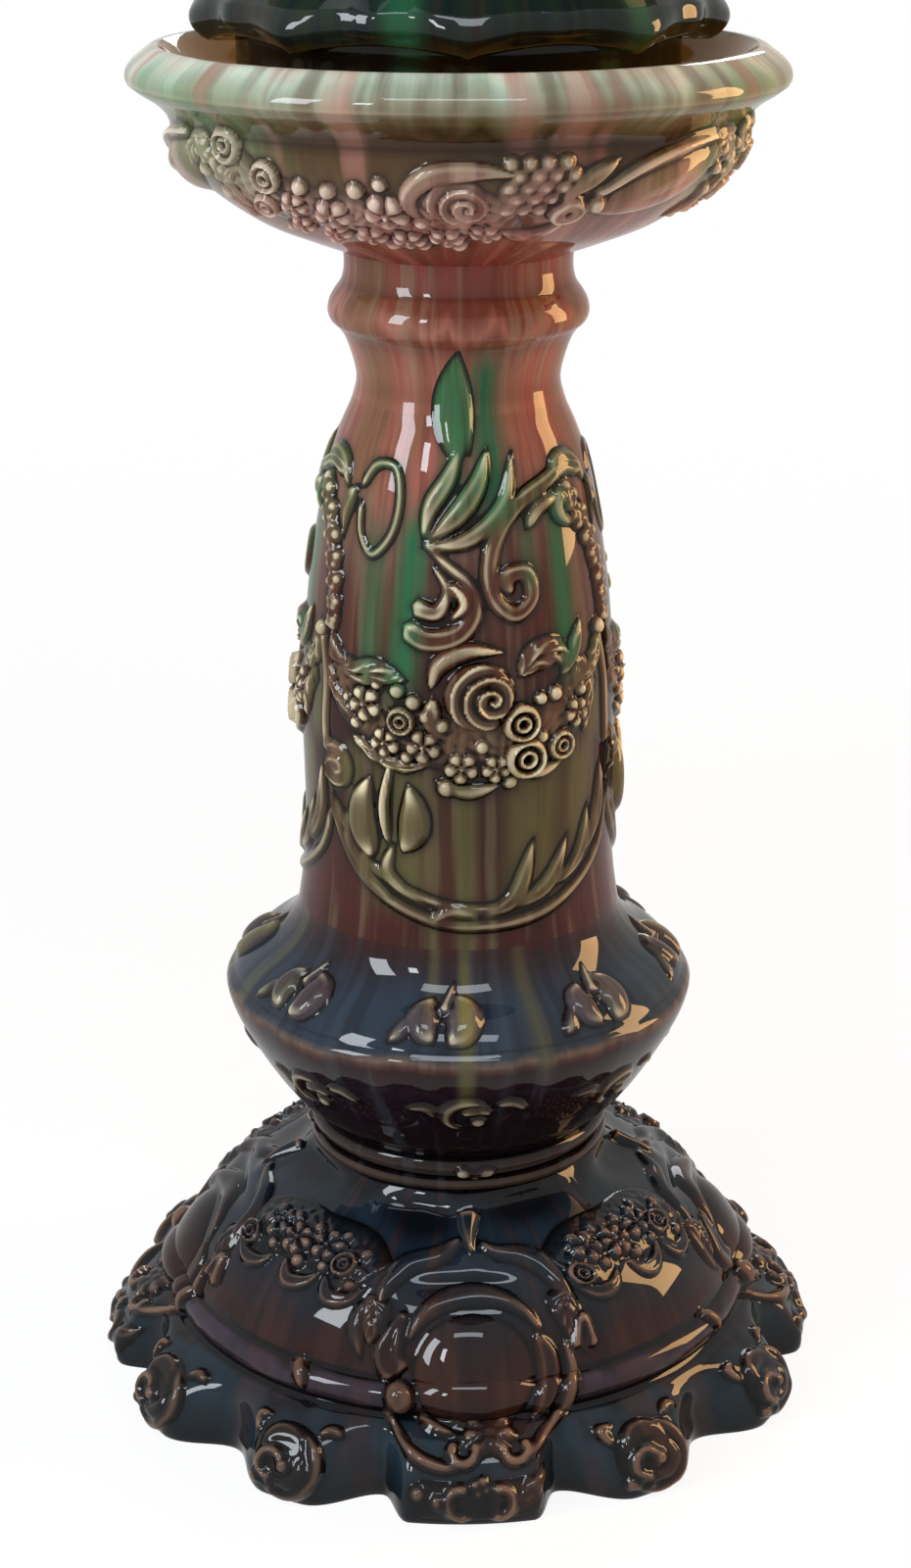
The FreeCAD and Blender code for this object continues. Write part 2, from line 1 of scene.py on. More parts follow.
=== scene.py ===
"""Glazed jardiniere on its pedestal stand: the finished surfaces, the light and the camera.

Lengths in the classes are millimetres, heights are above the floor, and an azimuth is in degrees
round the stand from its front towards the right. The walls are turned from their outlines. The
relief is laid on them as thin closed shells, raised by strokes, leaves, buds and roses that are
drawn in millimetres across and up the wall.
"""

import logging
import math
from dataclasses import dataclass, field
from enum import Enum
from typing import Callable, Optional, Sequence

import bpy
import numpy as np
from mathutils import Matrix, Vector


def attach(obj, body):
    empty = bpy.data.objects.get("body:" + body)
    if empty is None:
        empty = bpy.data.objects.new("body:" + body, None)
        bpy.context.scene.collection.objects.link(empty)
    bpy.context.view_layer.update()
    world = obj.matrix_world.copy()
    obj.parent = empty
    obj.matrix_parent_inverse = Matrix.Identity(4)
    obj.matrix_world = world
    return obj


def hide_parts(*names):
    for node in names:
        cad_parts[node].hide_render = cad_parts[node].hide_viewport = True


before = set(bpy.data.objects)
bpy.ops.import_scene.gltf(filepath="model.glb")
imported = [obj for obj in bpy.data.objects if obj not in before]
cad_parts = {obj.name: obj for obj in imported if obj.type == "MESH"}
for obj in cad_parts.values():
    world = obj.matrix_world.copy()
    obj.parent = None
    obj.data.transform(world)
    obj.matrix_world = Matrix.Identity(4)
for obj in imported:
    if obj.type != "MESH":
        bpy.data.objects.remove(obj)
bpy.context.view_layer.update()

LOG = logging.getLogger("jardiniere")
MM = 0.001                      # metres in a millimetre
VIEW_TURN = -2.0                # azimuth of the camera, which the places of the relief are given from
DRIP_RADIUS = 85.0              # radius on which all the streaks are laid out, in mm
FAR_BELOW = -9.0                # height of a place that no ornament reaches
GLAZE_FILLET = 0.5              # how softly the glaze rounds the foot of the ornament, in mm
BATCH = 4000                    # places that are measured against a stroke at a time
SAMPLE = 0.7                    # spacing of the points along a stroke, in mm
RIDGE_REACH = 1.6               # how far the relief is evened to find its ridges, in mm
RIDGE_FULL = 0.95               # how far a full ridge stands over its surroundings, in mm
SHEET_EDGE = 1.5                # how far the relief's sheet runs on beyond its marks, in mm
SMOOTH_ANGLE = 38.0             # edges up to this angle are shaded smooth, in degrees

Pair = tuple[float, float]
Run = list[Pair]


# ------------------------------------------------------------------ drawing
def smooth_line(points: Sequence[Pair], spacing: float) -> np.ndarray:
    """Curve through some points, sampled evenly.

    Args:
        points: The points that the curve passes through.
        spacing: About how far apart the samples are.

    Returns:
        Array of sampled points.
    """
    knots = np.array(points, float)
    if len(knots) == 2:
        count = max(1, round(float(np.linalg.norm(knots[1] - knots[0])) / spacing))
        share = np.linspace(0, 1, count + 1)[:, None]
        return knots[0] * (1 - share) + knots[1] * share
    ends = [2 * knots[0] - knots[1]], [2 * knots[-1] - knots[-2]]
    padded = np.concatenate([ends[0], knots, ends[1]])
    gaps = np.sqrt(np.linalg.norm(np.diff(padded, axis=0), axis=1))
    dense = []
    for i in range(1, len(padded) - 2):
        before, here, after = gaps[i - 1], gaps[i], gaps[i + 1]
        p0, p1, p2, p3 = padded[i - 1:i + 3]
        leave = (p1 - p0) / before - (p2 - p0) / (before + here) + (p2 - p1) / here
        arrive = (p2 - p1) / here - (p3 - p1) / (here + after) + (p3 - p2) / after
        t = np.linspace(0, 1, 16, endpoint=False)[:, None]
        cubic = (2 * t**3 - 3 * t**2 + 1) * p1 + (t**3 - 2 * t**2 + t) * leave * here
        dense.append(cubic + (3 * t**2 - 2 * t**3) * p2 + (t**3 - t**2) * arrive * here)
    line = np.concatenate(dense + [knots[-1:]])
    length = np.concatenate([[0], np.cumsum(np.linalg.norm(np.diff(line, axis=0), axis=1))])
    count = max(2, round(length[-1] / spacing))
    even = np.linspace(0, length[-1], count + 1)
    return np.stack([np.interp(even, length, line[:, k]) for k in range(line.shape[1])], axis=1)


def outline(runs: Sequence[Run], spacing: float) -> np.ndarray:
    """Outline made of smooth runs that meet at corners, sampled evenly."""
    parts = [smooth_line(run, spacing) for run in runs]
    return np.concatenate([parts[0]] + [part[1:] for part in parts[1:]])


def eased(value: np.ndarray, low: float, high: float) -> np.ndarray:
    """Smooth step from 0 at low to 1 at high."""
    share = np.clip((value - low) / (high - low), 0, 1)
    return share * share * (3 - 2 * share)


# ------------------------------------------------------------------ ornament
class Taper(Enum):
    """How wide a stroke is along its length."""

    BAR = "bar"
    LEAF = "leaf"
    TONGUE = "tongue"
    HORN = "horn"

    def breadth(self, along: np.ndarray) -> np.ndarray:
        """Share of the full width at each share of the length."""
        round_end = np.sqrt(np.clip(1 - along, 0, 1) * np.clip(along, 0, 1) * 24).clip(0, 1)
        if self is Taper.BAR:
            return round_end
        if self is Taper.LEAF:
            return np.sin(math.pi * along**0.85).clip(0, 1) ** 0.75
        if self is Taper.TONGUE:
            return (0.3 + 0.7 * eased(along, 0, 0.85)) * round_end
        return (1 - 0.85 * along**1.2) * round_end


BAR, LEAF, TONGUE, HORN = Taper


@dataclass(frozen=True)
class Stroke:
    """Raised line, scroll or leaf along a curve, in mm across and up the wall."""

    points: Sequence[Pair]
    width: float
    rise: float
    taper: Taper = BAR
    gutter: float = 0.0
    veins: int = 0
    teeth: int = 0
    lumps: float = 0.0

    def reach(self) -> tuple[float, float, float, float]:
        """Box that the stroke lies in: left, right, bottom and top."""
        across, up = zip(*self.points)
        edge = self.width + 4
        return min(across) - edge, max(across) + edge, min(up) - edge, max(up) + edge

    def rise_at(self, x: np.ndarray, y: np.ndarray) -> np.ndarray:
        """Height over the wall at some places; below 0 it is the distance to the stroke."""
        line = smooth_line(self.points, SAMPLE)
        along = np.linspace(0, 1, len(line))
        lead = np.gradient(line, axis=0)
        lead /= np.linalg.norm(lead, axis=1)[:, None] + 1e-9
        nearest = np.empty(len(x), int)
        for i in range(0, len(x), BATCH):
            across, up = x[i:i + BATCH, None] - line[:, 0], y[i:i + BATCH, None] - line[:, 1]
            nearest[i:i + BATCH] = np.argmin(across**2 + up**2, axis=1)
        dx, dy = x - line[nearest, 0], y - line[nearest, 1]
        ahead = dx * lead[nearest, 0] + dy * lead[nearest, 1]
        aside = dx * lead[nearest, 1] - dy * lead[nearest, 0]
        away = np.hypot(aside, np.maximum(np.abs(ahead) - 0.35, 0))
        place = along[nearest]
        half = 0.62 * self.width * self.taper.breadth(place)
        if self.teeth:
            half = half * (1 - 0.22 * np.abs(2 * ((place * self.teeth) % 1) - 1))
        half = np.maximum(half, 0.25)
        share = np.clip(away / half, 0, 1)
        body = (1 - share**2) ** 0.95
        body = body - self.gutter * np.exp(-((share / 0.45) ** 2)) * (1 - share**4)
        if self.veins:
            wave = np.cos(2 * math.pi * (self.veins * place - 1.4 * share))
            body = body * (1 - 0.2 * (0.5 + 0.5 * wave)) - 0.25 * np.exp(-((share / 0.12) ** 2)) * body
        if self.lumps:
            across, up = x * 0.71 + 1.7 * np.sin(y * 0.37 + 1.0), y * 0.63 + 1.9 * np.sin(x * 0.29)
            body = body * (1 + self.lumps * (np.sin(across) * np.sin(up)))
        height = self.rise * (half / (0.62 * self.width)).clip(0, 1) ** 0.5
        return np.where(away < half, height * body, half - away)


@dataclass(frozen=True)
class Bud:
    """Round bead."""

    x: float
    y: float
    radius: float
    rise: float

    def reach(self) -> tuple[float, float, float, float]:
        """Box that the bud lies in."""
        edge = self.radius + 5
        return self.x - edge, self.x + edge, self.y - edge, self.y + edge

    def shape(self, share: np.ndarray, turn: np.ndarray) -> np.ndarray:
        """Share of the rise at a share of the radius and an angle."""
        return (1 - share**2) ** 0.8

    def border(self, turn: np.ndarray) -> np.ndarray:
        """Radius at an angle."""
        return np.full_like(turn, self.radius)

    def rise_at(self, x: np.ndarray, y: np.ndarray) -> np.ndarray:
        """Height over the wall at some places."""
        away, turn = np.hypot(x - self.x, y - self.y), np.arctan2(y - self.y, x - self.x)
        radius = self.border(turn)
        share = np.clip(away / radius, 0, 1)
        return np.where(away < radius, self.rise * self.shape(share, turn), radius - away)


@dataclass(frozen=True)
class Dome(Bud):
    """Smooth swelling with a soft border."""

    def shape(self, share: np.ndarray, turn: np.ndarray) -> np.ndarray:
        """Round on top, flattening out at its border."""
        return (1 - share**2.4) ** 0.9


@dataclass(frozen=True)
class Eye(Bud):
    """Floret with a raised border, a ring inside it and a pit."""

    def shape(self, share: np.ndarray, turn: np.ndarray) -> np.ndarray:
        """Two rings round a pit."""
        rings = np.exp(-(((share - 0.76) / 0.17) ** 2)) + 0.95 * np.exp(-(((share - 0.34) / 0.15) ** 2))
        return 0.28 + 0.72 * rings - 0.2 * (1 - eased(share, 0.0, 0.2))


@dataclass(frozen=True)
class Rose(Bud):
    """Full rose: petals that wind round its heart."""

    petals: float = 2.7

    def shape(self, share: np.ndarray, turn: np.ndarray) -> np.ndarray:
        """Dome with petal edges that wind round a heart beside its middle."""
        x, y = share * np.cos(turn) - 0.3, share * np.sin(turn) + 0.06
        wind = (np.hypot(x, y) * self.petals - np.arctan2(y, x) / (2 * math.pi) + 0.35) % 1
        edge = wind**2.2 * eased(1 - wind, 0, 0.12)
        dome = (1 - share**2.6) ** 0.6
        outer = eased(share, 0, 0.3)
        return dome * (0.5 + 0.5 * edge * (0.4 + 0.6 * outer)) + 0.12 * (1 - outer)


@dataclass(frozen=True)
class Blossom(Bud):
    """Open flower with separate petals and a round heart."""

    petals: int = 5
    turn: float = 0.4

    def border(self, turn: np.ndarray) -> np.ndarray:
        """Scalloped radius."""
        return self.radius * (0.76 + 0.24 * np.abs(np.cos(self.petals * (turn + self.turn) / 2)) ** 0.6)

    def shape(self, share: np.ndarray, turn: np.ndarray) -> np.ndarray:
        """Cupped petals round a bead."""
        petal = np.abs(np.cos(self.petals * (turn + self.turn) / 2)) ** 0.7
        cup = (0.62 + 0.38 * share) * (1 - share**5) * (0.5 + 0.5 * petal)
        return np.maximum(cup, 0.95 * np.exp(-((share / 0.22) ** 2)))


Mark = Stroke | Bud


def arc(x: float, y: float, radius: float, start: float, end: float, drift: float = 0.0) -> list[Pair]:
    """Points on an arc or spiral.

    Args:
        x: Middle, across.
        y: Middle, up.
        radius: Radius at the start.
        start: Angle at the start, in degrees from the right, counter-clockwise.
        end: Angle at the end.
        drift: How much the radius grows from start to end.

    Returns:
        Points along it.
    """
    count = max(3, round(abs(end - start) / 25))
    points = []
    for i in range(count + 1):
        share = i / count
        angle = math.radians(start + (end - start) * share)
        reach = radius + drift * share
        points.append((x + reach * math.cos(angle), y + reach * math.sin(angle)))
    return points


# ------------------------------------------------------------------ walls
@dataclass
class Surface:
    """Outside of a round wall, addressed by azimuth and by the run along its outline.

    Attributes:
        runs: Smooth runs of (radius, height) from the bottom up.
        shift: How far the wall stands out of its outline at an azimuth and height.
    """

    runs: list[Run]
    shift: Optional[Callable[[np.ndarray, np.ndarray], np.ndarray]] = None

    def __post_init__(self) -> None:
        """Sample the outline."""
        self.line = outline(self.runs, 0.5)
        steps = np.linalg.norm(np.diff(self.line, axis=0), axis=1)
        self.length = np.concatenate([[0], np.cumsum(steps)])

    def run_at(self, height: float | np.ndarray) -> np.ndarray:
        """Run at a height."""
        return np.interp(height, self.line[:, 1], self.length)

    def radius_at(self, run: float | np.ndarray) -> np.ndarray:
        """Radius of the outline at a run."""
        return np.interp(run, self.length, self.line[:, 0])

    def place(self, azimuth: np.ndarray, run: np.ndarray) -> np.ndarray:
        """Points of the wall, in mm."""
        radius, height = self.radius_at(run), np.interp(run, self.length, self.line[:, 1])
        if self.shift:
            radius = radius + self.shift(azimuth, height)
        angle = np.radians(azimuth)
        return np.stack([radius * np.sin(angle), -radius * np.cos(angle), height], axis=1)

    def lean(self, azimuth: np.ndarray, run: np.ndarray) -> np.ndarray:
        """Directions straight out of the wall, evened over a few mm."""
        reach_run = 2.0
        reach_turn = np.degrees(reach_run / self.radius_at(run))
        up = self.place(azimuth, run + reach_run) - self.place(azimuth, run - reach_run)
        across = self.place(azimuth + reach_turn, run) - self.place(azimuth - reach_turn, run)
        out = np.cross(across, up)
        return out / (np.linalg.norm(out, axis=1)[:, None] + 1e-9)


@dataclass
class Panel:
    """Marks drawn round a middle on a wall, repeated round the axis; small flowers are left crisp."""

    wall: Surface
    azimuth: float
    height: float
    count: int
    marks: list[Mark] = field(default_factory=list)
    crisp: bool = False

    def __post_init__(self) -> None:
        """Find the middle's run."""
        self.run = float(self.wall.run_at(self.height))

    def at(self, *places: Pair) -> list[Pair]:
        """Points in mm from the middle, for places given as view azimuth and height."""
        points = []
        for azimuth, height in places:
            run = float(self.wall.run_at(height))
            aside = azimuth + VIEW_TURN - self.azimuth
            points.append((math.radians(aside) * float(self.wall.radius_at(run)), run - self.run))
        return points

    def flowers(self, *rows: tuple) -> list[Mark]:
        """Round marks from rows of kind, view azimuth, height, radius and rise."""
        return [kind(*self.at((azimuth, height))[0], *sizes) for kind, azimuth, height, *sizes in rows]

    def rise_at(self, azimuth: np.ndarray, run: np.ndarray) -> np.ndarray:
        """Height of the ornament over the wall at some azimuths and runs."""
        pitch = 360 / self.count
        aside = (azimuth - self.azimuth + pitch / 2) % pitch - pitch / 2
        x, y = np.radians(aside) * self.wall.radius_at(run), run - self.run
        rise = np.full(len(x), FAR_BELOW)
        for mark in self.marks:
            left, right, bottom, top = mark.reach()
            near = (x > left) & (x < right) & (y > bottom) & (y < top)
            if near.any():
                rise[near] = np.maximum(rise[near], mark.rise_at(x[near], y[near]))
        return rise

    def span(self) -> tuple[float, float, float, float]:
        """Azimuths and runs that the marks lie between."""
        boxes = np.array([mark.reach() for mark in self.marks])
        left, bottom = boxes[:, 0].min(), boxes[:, 2].min()
        right, top = boxes[:, 1].max(), boxes[:, 3].max()
        radius = min(float(self.wall.radius_at(self.run + y)) for y in np.linspace(bottom, top, 9))
        limit = 180 / self.count
        low = self.azimuth + max(math.degrees(left / radius), -limit)
        high = self.azimuth + min(math.degrees(right / radius), limit)
        return low, high, max(self.run + bottom, 0.5), min(self.run + top, self.wall.length[-1] - 0.5)


# ------------------------------------------------------------------ working in Blender
def only(thing: bpy.types.Object) -> None:
    """Select one object alone and make it the active one."""
    bpy.ops.object.select_all(action="DESELECT")
    thing.select_set(True)
    bpy.context.view_layer.objects.active = thing


def tidy_faces(thing: bpy.types.Object) -> None:
    """Merge doubles and turn all faces outwards."""
    only(thing)
    bpy.ops.object.mode_set(mode="EDIT")
    bpy.ops.mesh.select_all(action="SELECT")
    bpy.ops.mesh.remove_doubles(threshold=1e-6)
    bpy.ops.mesh.normals_make_consistent(inside=False)
    bpy.ops.object.mode_set(mode="OBJECT")


def coordinates(thing: bpy.types.Object) -> np.ndarray:
    """Vertex places of a mesh, in mm."""
    flat = np.empty(len(thing.data.vertices) * 3, np.float32)
    thing.data.vertices.foreach_get("co", flat)
    return flat.reshape(-1, 3).astype(float) / MM


def put(thing: bpy.types.Object, places: np.ndarray) -> None:
    """Move a mesh's vertices to places in mm."""
    thing.data.vertices.foreach_set("co", (places * MM).astype(np.float32).ravel())
    thing.data.update()


def mark_points(thing: bpy.types.Object, name: str, values: np.ndarray) -> None:
    """Store one number or vector for each vertex."""
    kind = "FLOAT_VECTOR" if values.ndim == 2 else "FLOAT"
    channel = thing.data.attributes.new(name, kind, "POINT")
    channel.data.foreach_set("vector" if values.ndim == 2 else "value", values.astype(np.float32).ravel())


def azimuth_of(places: np.ndarray) -> np.ndarray:
    """Azimuth of each place."""
    return np.degrees(np.arctan2(places[:, 0], -places[:, 1]))


def evened(field_2d: np.ndarray, reach: int) -> np.ndarray:
    """Running mean of a grid of values in both directions."""
    result = field_2d
    for axis in (0, 1):
        padded = np.pad(result, [(reach, reach) if k == axis else (0, 0) for k in (0, 1)], mode="edge")
        total = np.cumsum(padded, axis=axis)
        total = np.concatenate([np.zeros_like(np.take(total, [0], axis)), total], axis=axis)
        size = 2 * reach + 1
        result = (np.take(total, range(size, total.shape[axis]), axis)
                  - np.take(total, range(0, total.shape[axis] - size), axis)) / size
    return result


def turn_wall(name: str, line: np.ndarray, steps: int, closed: bool) -> bpy.types.Object:
    """Turn an outline about the axis into a closed wall.

    Args:
        name: Name of the piece.
        line: Points of (radius, height), in mm.
        steps: How many faces go round.
        closed: Whether the outline returns to its first point, or starts and ends on the axis.

    Returns:
        The piece.
    """
    curve = bpy.data.curves.new(name, "CURVE")
    curve.dimensions = "3D"
    spline = curve.splines.new("POLY")
    spline.points.add(len(line) - 1)
    spline.use_cyclic_u = closed
    for point, (radius, height) in zip(spline.points, line):
        point.co = (radius * MM, 0.0, height * MM, 1.0)
    piece = bpy.data.objects.new(name, curve)
    bpy.context.scene.collection.objects.link(piece)
    only(piece)
    bpy.ops.object.convert(target="MESH")
    piece = bpy.context.object
    bpy.ops.object.modifier_add(type="SCREW")
    lathe = piece.modifiers[-1]
    lathe.steps = lathe.render_steps = steps
    lathe.use_merge_vertices = True
    bpy.ops.object.modifier_apply(modifier=lathe.name)
    tidy_faces(piece)
    return piece


def lay_relief(name: str, panels: Sequence[Panel], spacing: float, bed: float = 2.5) -> bpy.types.Object:
    """Lay the marks of some panels on their wall as one closed piece.

    Args:
        name: Name of the piece.
        panels: Panels of one node.
        spacing: Size of the faces, in mm.
        bed: How deep the back lies under the wall's face.

    Returns:
        The piece, with all its copies round the axis.
    """
    sheets = []
    for panel in panels:
        low, high, first, last = panel.span()
        radius = float(panel.wall.radius_at((first + last) / 2))
        columns = max(4, round(math.radians(high - low) * radius / spacing))
        rows = max(4, round((last - first) / spacing))
        bpy.ops.object.select_all(action="DESELECT")
        bpy.ops.mesh.primitive_grid_add(x_subdivisions=columns, y_subdivisions=rows, size=1)
        sheet = bpy.context.object
        flat = coordinates(sheet) * MM + 0.5
        azimuth = low + (high - low) * flat[:, 0]
        run = first + (last - first) * flat[:, 1]
        rise = panel.rise_at(azimuth, run).clip(-2.5, None)
        if not panel.crisp:
            rise = evened(rise.reshape(rows + 1, columns + 1), 1).ravel()
        table = rise.clip(0, None).reshape(rows + 1, columns + 1)
        reach = max(1, round(RIDGE_REACH / spacing))
        ridge = (table - evened(evened(table, reach), reach)).ravel() / RIDGE_FULL
        base, out = panel.wall.place(azimuth, run), panel.wall.lean(azimuth, run)
        mark_points(sheet, "seat", base - out * bed)
        mark_points(sheet, "ridge", ridge.clip(-1, 1))
        mark_points(sheet, "lift", eased(rise, -0.2, 1.7))
        swell = GLAZE_FILLET * np.log1p(np.exp(rise / GLAZE_FILLET)) - 0.06
        put(sheet, base + out * (swell - 0.5 * (-rise - 1.0).clip(0, None))[:, None])
        corners = np.empty(len(sheet.data.polygons) * 4, np.int32)
        sheet.data.polygons.foreach_get("vertices", corners)
        bare = rise[corners].reshape(-1, 4).max(axis=1) < -SHEET_EDGE
        bpy.ops.object.mode_set(mode="EDIT")
        bpy.ops.mesh.select_mode(type="FACE")
        bpy.ops.object.mode_set(mode="OBJECT")
        sheet.data.polygons.foreach_set("select", bare)
        bpy.ops.object.mode_set(mode="EDIT")
        bpy.ops.mesh.delete(type="FACE")
        bpy.ops.mesh.select_mode(type="VERT")
        bpy.ops.mesh.select_all(action="SELECT")
        bpy.ops.mesh.delete_loose(use_verts=True, use_edges=True, use_faces=False)
        bpy.ops.mesh.select_all(action="SELECT")
        bpy.ops.mesh.extrude_region()
        bpy.ops.object.mode_set(mode="OBJECT")
        places = coordinates(sheet)
        front = np.empty(len(places), bool)
        sheet.data.vertices.foreach_get("select", front)
        seat = np.empty(len(places) * 3, np.float32)
        sheet.data.attributes["seat"].data.foreach_get("vector", seat)
        places[~front] = seat.reshape(-1, 3)[~front]
        put(sheet, places)
        sheet.data.attributes.remove(sheet.data.attributes["seat"])
        tidy_faces(sheet)
        sheets.append(sheet)
        for copy_index in range(1, panel.count):
            only(sheet)
            bpy.ops.object.duplicate()
            bpy.context.object.rotation_euler[2] = 2 * math.pi * copy_index / panel.count
            bpy.ops.object.transform_apply(location=False, rotation=True, scale=False)
            sheets.append(bpy.context.object)
    bpy.ops.object.select_all(action="DESELECT")
    for sheet in sheets:
        sheet.select_set(True)
    bpy.context.view_layer.objects.active = sheets[0]
    if len(sheets) > 1:
        bpy.ops.object.join()
    piece = bpy.context.object
    piece.name = piece.data.name = name
    return piece


# ------------------------------------------------------------------ glazes
def shade(code: str) -> tuple[float, float, float, float]:
    """Linear colour from six hexadecimal digits."""
    parts = [int(code[i:i + 2], 16) / 255 for i in (0, 2, 4)]
    linear = [c / 12.92 if c <= 0.04045 else ((c + 0.055) / 1.055) ** 2.4 for c in parts]
    return (*linear, 1.0)


class Bench:
    """Node tree while it is being wired."""

    def __init__(self, tree: bpy.types.NodeTree) -> None:
        """Work on a node tree."""
        self.tree = tree

    def add(self, kind: str, feeds: Optional[dict] = None, **settings: object) -> bpy.types.Node:
        """Add a node.

        Args:
            kind: The node's type.
            feeds: What goes into its inputs, by name or index: a socket, or a plain value.
            settings: The node's own settings.

        Returns:
            The node.
        """
        node = self.tree.nodes.new(kind)
        for key, value in settings.items():
            setattr(node, key, value)
        for key, value in (feeds or {}).items():
            if isinstance(value, bpy.types.NodeSocket):
                self.tree.links.new(value, node.inputs[key])
            else:
                node.inputs[key].default_value = value
        return node

    def math(self, operation: str, *numbers: object) -> bpy.types.NodeSocket:
        """Result of a sum on numbers."""
        feeds = dict(enumerate((*numbers, 0.0, 0.0)[:3]))
        return self.add("ShaderNodeMath", feeds, operation=operation).outputs[0]

    def step(self, value: object, low: float, high: float) -> bpy.types.NodeSocket:
        """Smooth step of a number from 0 at low to 1 at high."""
        feeds = {"Value": value, "From Min": low, "From Max": high}
        return self.add("ShaderNodeMapRange", feeds, interpolation_type="SMOOTHSTEP").outputs[0]

    def blend(self, share: object, under: object, over: object) -> bpy.types.NodeSocket:
        """One colour laid over another by a share."""
        feeds = {"Factor": share, 6: under, 7: over}
        return self.add("ShaderNodeMix", feeds, data_type="RGBA").outputs[2]

    def noise(self, vector: object, scale: object, detail: float = 2.0) -> bpy.types.NodeSocket:
        """Noise between about 0.2 and 0.8."""
        feeds = {"Vector": vector, "Scale": scale, "Detail": detail}
        return self.add("ShaderNodeTexNoise", feeds).outputs[0]


def new_group(name: str, inputs: dict[str, str], outputs: dict[str, str]) -> tuple[bpy.types.NodeTree, Bench]:
    """Empty node group with named sockets.

    Args:
        name: Name of the group.
        inputs: Socket kind of each input.
        outputs: Socket kind of each output.

    Returns:
        The group and a bench to wire it on.
    """
    tree = bpy.data.node_groups.new(name, "ShaderNodeTree")
    for in_out, sockets in (("INPUT", inputs), ("OUTPUT", outputs)):
        for socket, kind in sockets.items():
            tree.interface.new_socket(socket, in_out=in_out, socket_type=f"NodeSocket{kind}")
    return tree, Bench(tree)


class Kiln:
    """Effects that all the glazes share, each a node group."""

    def __init__(self) -> None:
        """Build the groups."""
        self.runs = self.build_runs()
        self.breaks = self.build_breaks()
        self.ripple = self.build_ripple()

    def build_runs(self) -> bpy.types.NodeTree:
        """Melted glaze that has run down the wall: a wandering height and a fine streak."""
        group, bench = new_group("glaze_runs", {"Drip": "Vector", "Wander": "Float", "Fine": "Float"},
                                 {"Height": "Float", "Streak": "Float", "Tint": "Float", "Cloud": "Float"})
        into, out = bench.add("NodeGroupInput"), bench.add("NodeGroupOutput")
        drip, fineness = into.outputs["Drip"], into.outputs["Fine"]
        height = bench.add("ShaderNodeSeparateXYZ", {0: drip}).outputs[2]
        long = bench.add("ShaderNodeVectorMath", {0: drip, 1: (1, 1, 0.07)}, operation="MULTIPLY").outputs[0]
        tall = bench.add("ShaderNodeVectorMath", {0: drip, 1: (1, 1, 0.3)}, operation="MULTIPLY").outputs[0]
        broad = bench.noise(long, 90.0, 2.0)
        fine = bench.noise(long, fineness, 3.0)
        cloud = bench.noise(tall, 26.0, 2.0)
        wander = bench.math("ADD", bench.math("SUBTRACT", broad, 0.5), bench.math("SUBTRACT", cloud, 0.5))
        moved = bench.math("MULTIPLY_ADD", wander, into.outputs["Wander"], height)
        bench.tree.links.new(moved, out.inputs["Height"])
        beside = bench.add("ShaderNodeVectorMath", {0: long, 1: (3.1, 1.7, 0.4)}, operation="ADD").outputs[0]
        tint = bench.noise(beside, bench.math("MULTIPLY", fineness, 0.55), 2.0)
        bench.tree.links.new(bench.step(fine, 0.38, 0.64), out.inputs["Streak"])
        bench.tree.links.new(bench.step(tint, 0.5, 0.66), out.inputs["Tint"])
        bench.tree.links.new(bench.step(cloud, 0.35, 0.65), out.inputs["Cloud"])
        return group

    def build_breaks(self) -> bpy.types.NodeTree:
        """Glaze that is thin and pale on raised edges, and thick and dark where it pools and where the foot
        dome's hollows take a painted dark reflection.
        """
        group, bench = new_group(
            "glaze_breaks",
            {"Color": "Color", "Pale": "Color", "Dark": "Color", "Ridge": "Float", "Pool_and_dark_reflection": "Float",
             "Lift": "Float", "Thin": "Float", "Thick": "Float", "Cloud": "Float"},
            {"Color": "Color"})
        into, out = bench.add("NodeGroupInput"), bench.add("NodeGroupOutput")
        sunk = bench.step(bench.math("MULTIPLY", into.outputs["Ridge"], -1.0), 0.05, 0.75)
        low = bench.math("SUBTRACT", 1.0, into.outputs["Lift"])
        # dark where glaze pools, and in the painted dark reflection of the foot dome's hollows
        pooled_and_dark_reflection = bench.math("MAXIMUM", bench.math("MAXIMUM", sunk, into.outputs["Pool_and_dark_reflection"]), low)
        dark = bench.math("MULTIPLY", pooled_and_dark_reflection, into.outputs["Thick"])
        deep = bench.blend(dark, into.outputs["Color"], into.outputs["Dark"])
        crest = bench.step(into.outputs["Ridge"], 0.3, 1.15)
        patchy = bench.math("MULTIPLY_ADD", into.outputs["Cloud"], 0.5, 0.5)
        pale = bench.math("MULTIPLY", bench.math("MULTIPLY", crest, patchy), into.outputs["Thin"])
        result = bench.blend(pale, deep, into.outputs["Pale"])
        bench.tree.links.new(result, out.inputs["Color"])
        return group

    def build_ripple(self) -> bpy.types.NodeTree:
        """Slight waves in the melted surface."""
        group, bench = new_group("glaze_ripple", {"Place": "Vector", "Scale": "Float"}, {"Height": "Float"})
        into, out = bench.add("NodeGroupInput"), bench.add("NodeGroupOutput")
        waves = bench.noise(into.outputs["Place"], into.outputs["Scale"], 1.5)
        middle = bench.noise(into.outputs["Place"], bench.math("MULTIPLY", into.outputs["Scale"], 3.3), 2.0)
        grain = bench.noise(into.outputs["Place"], bench.math("MULTIPLY", into.outputs["Scale"], 11.0), 1.0)
        total = bench.math("MULTIPLY_ADD", middle, 0.28, bench.math("MULTIPLY_ADD", grain, 0.05, waves))
        bench.tree.links.new(total, out.inputs["Height"])
        return group


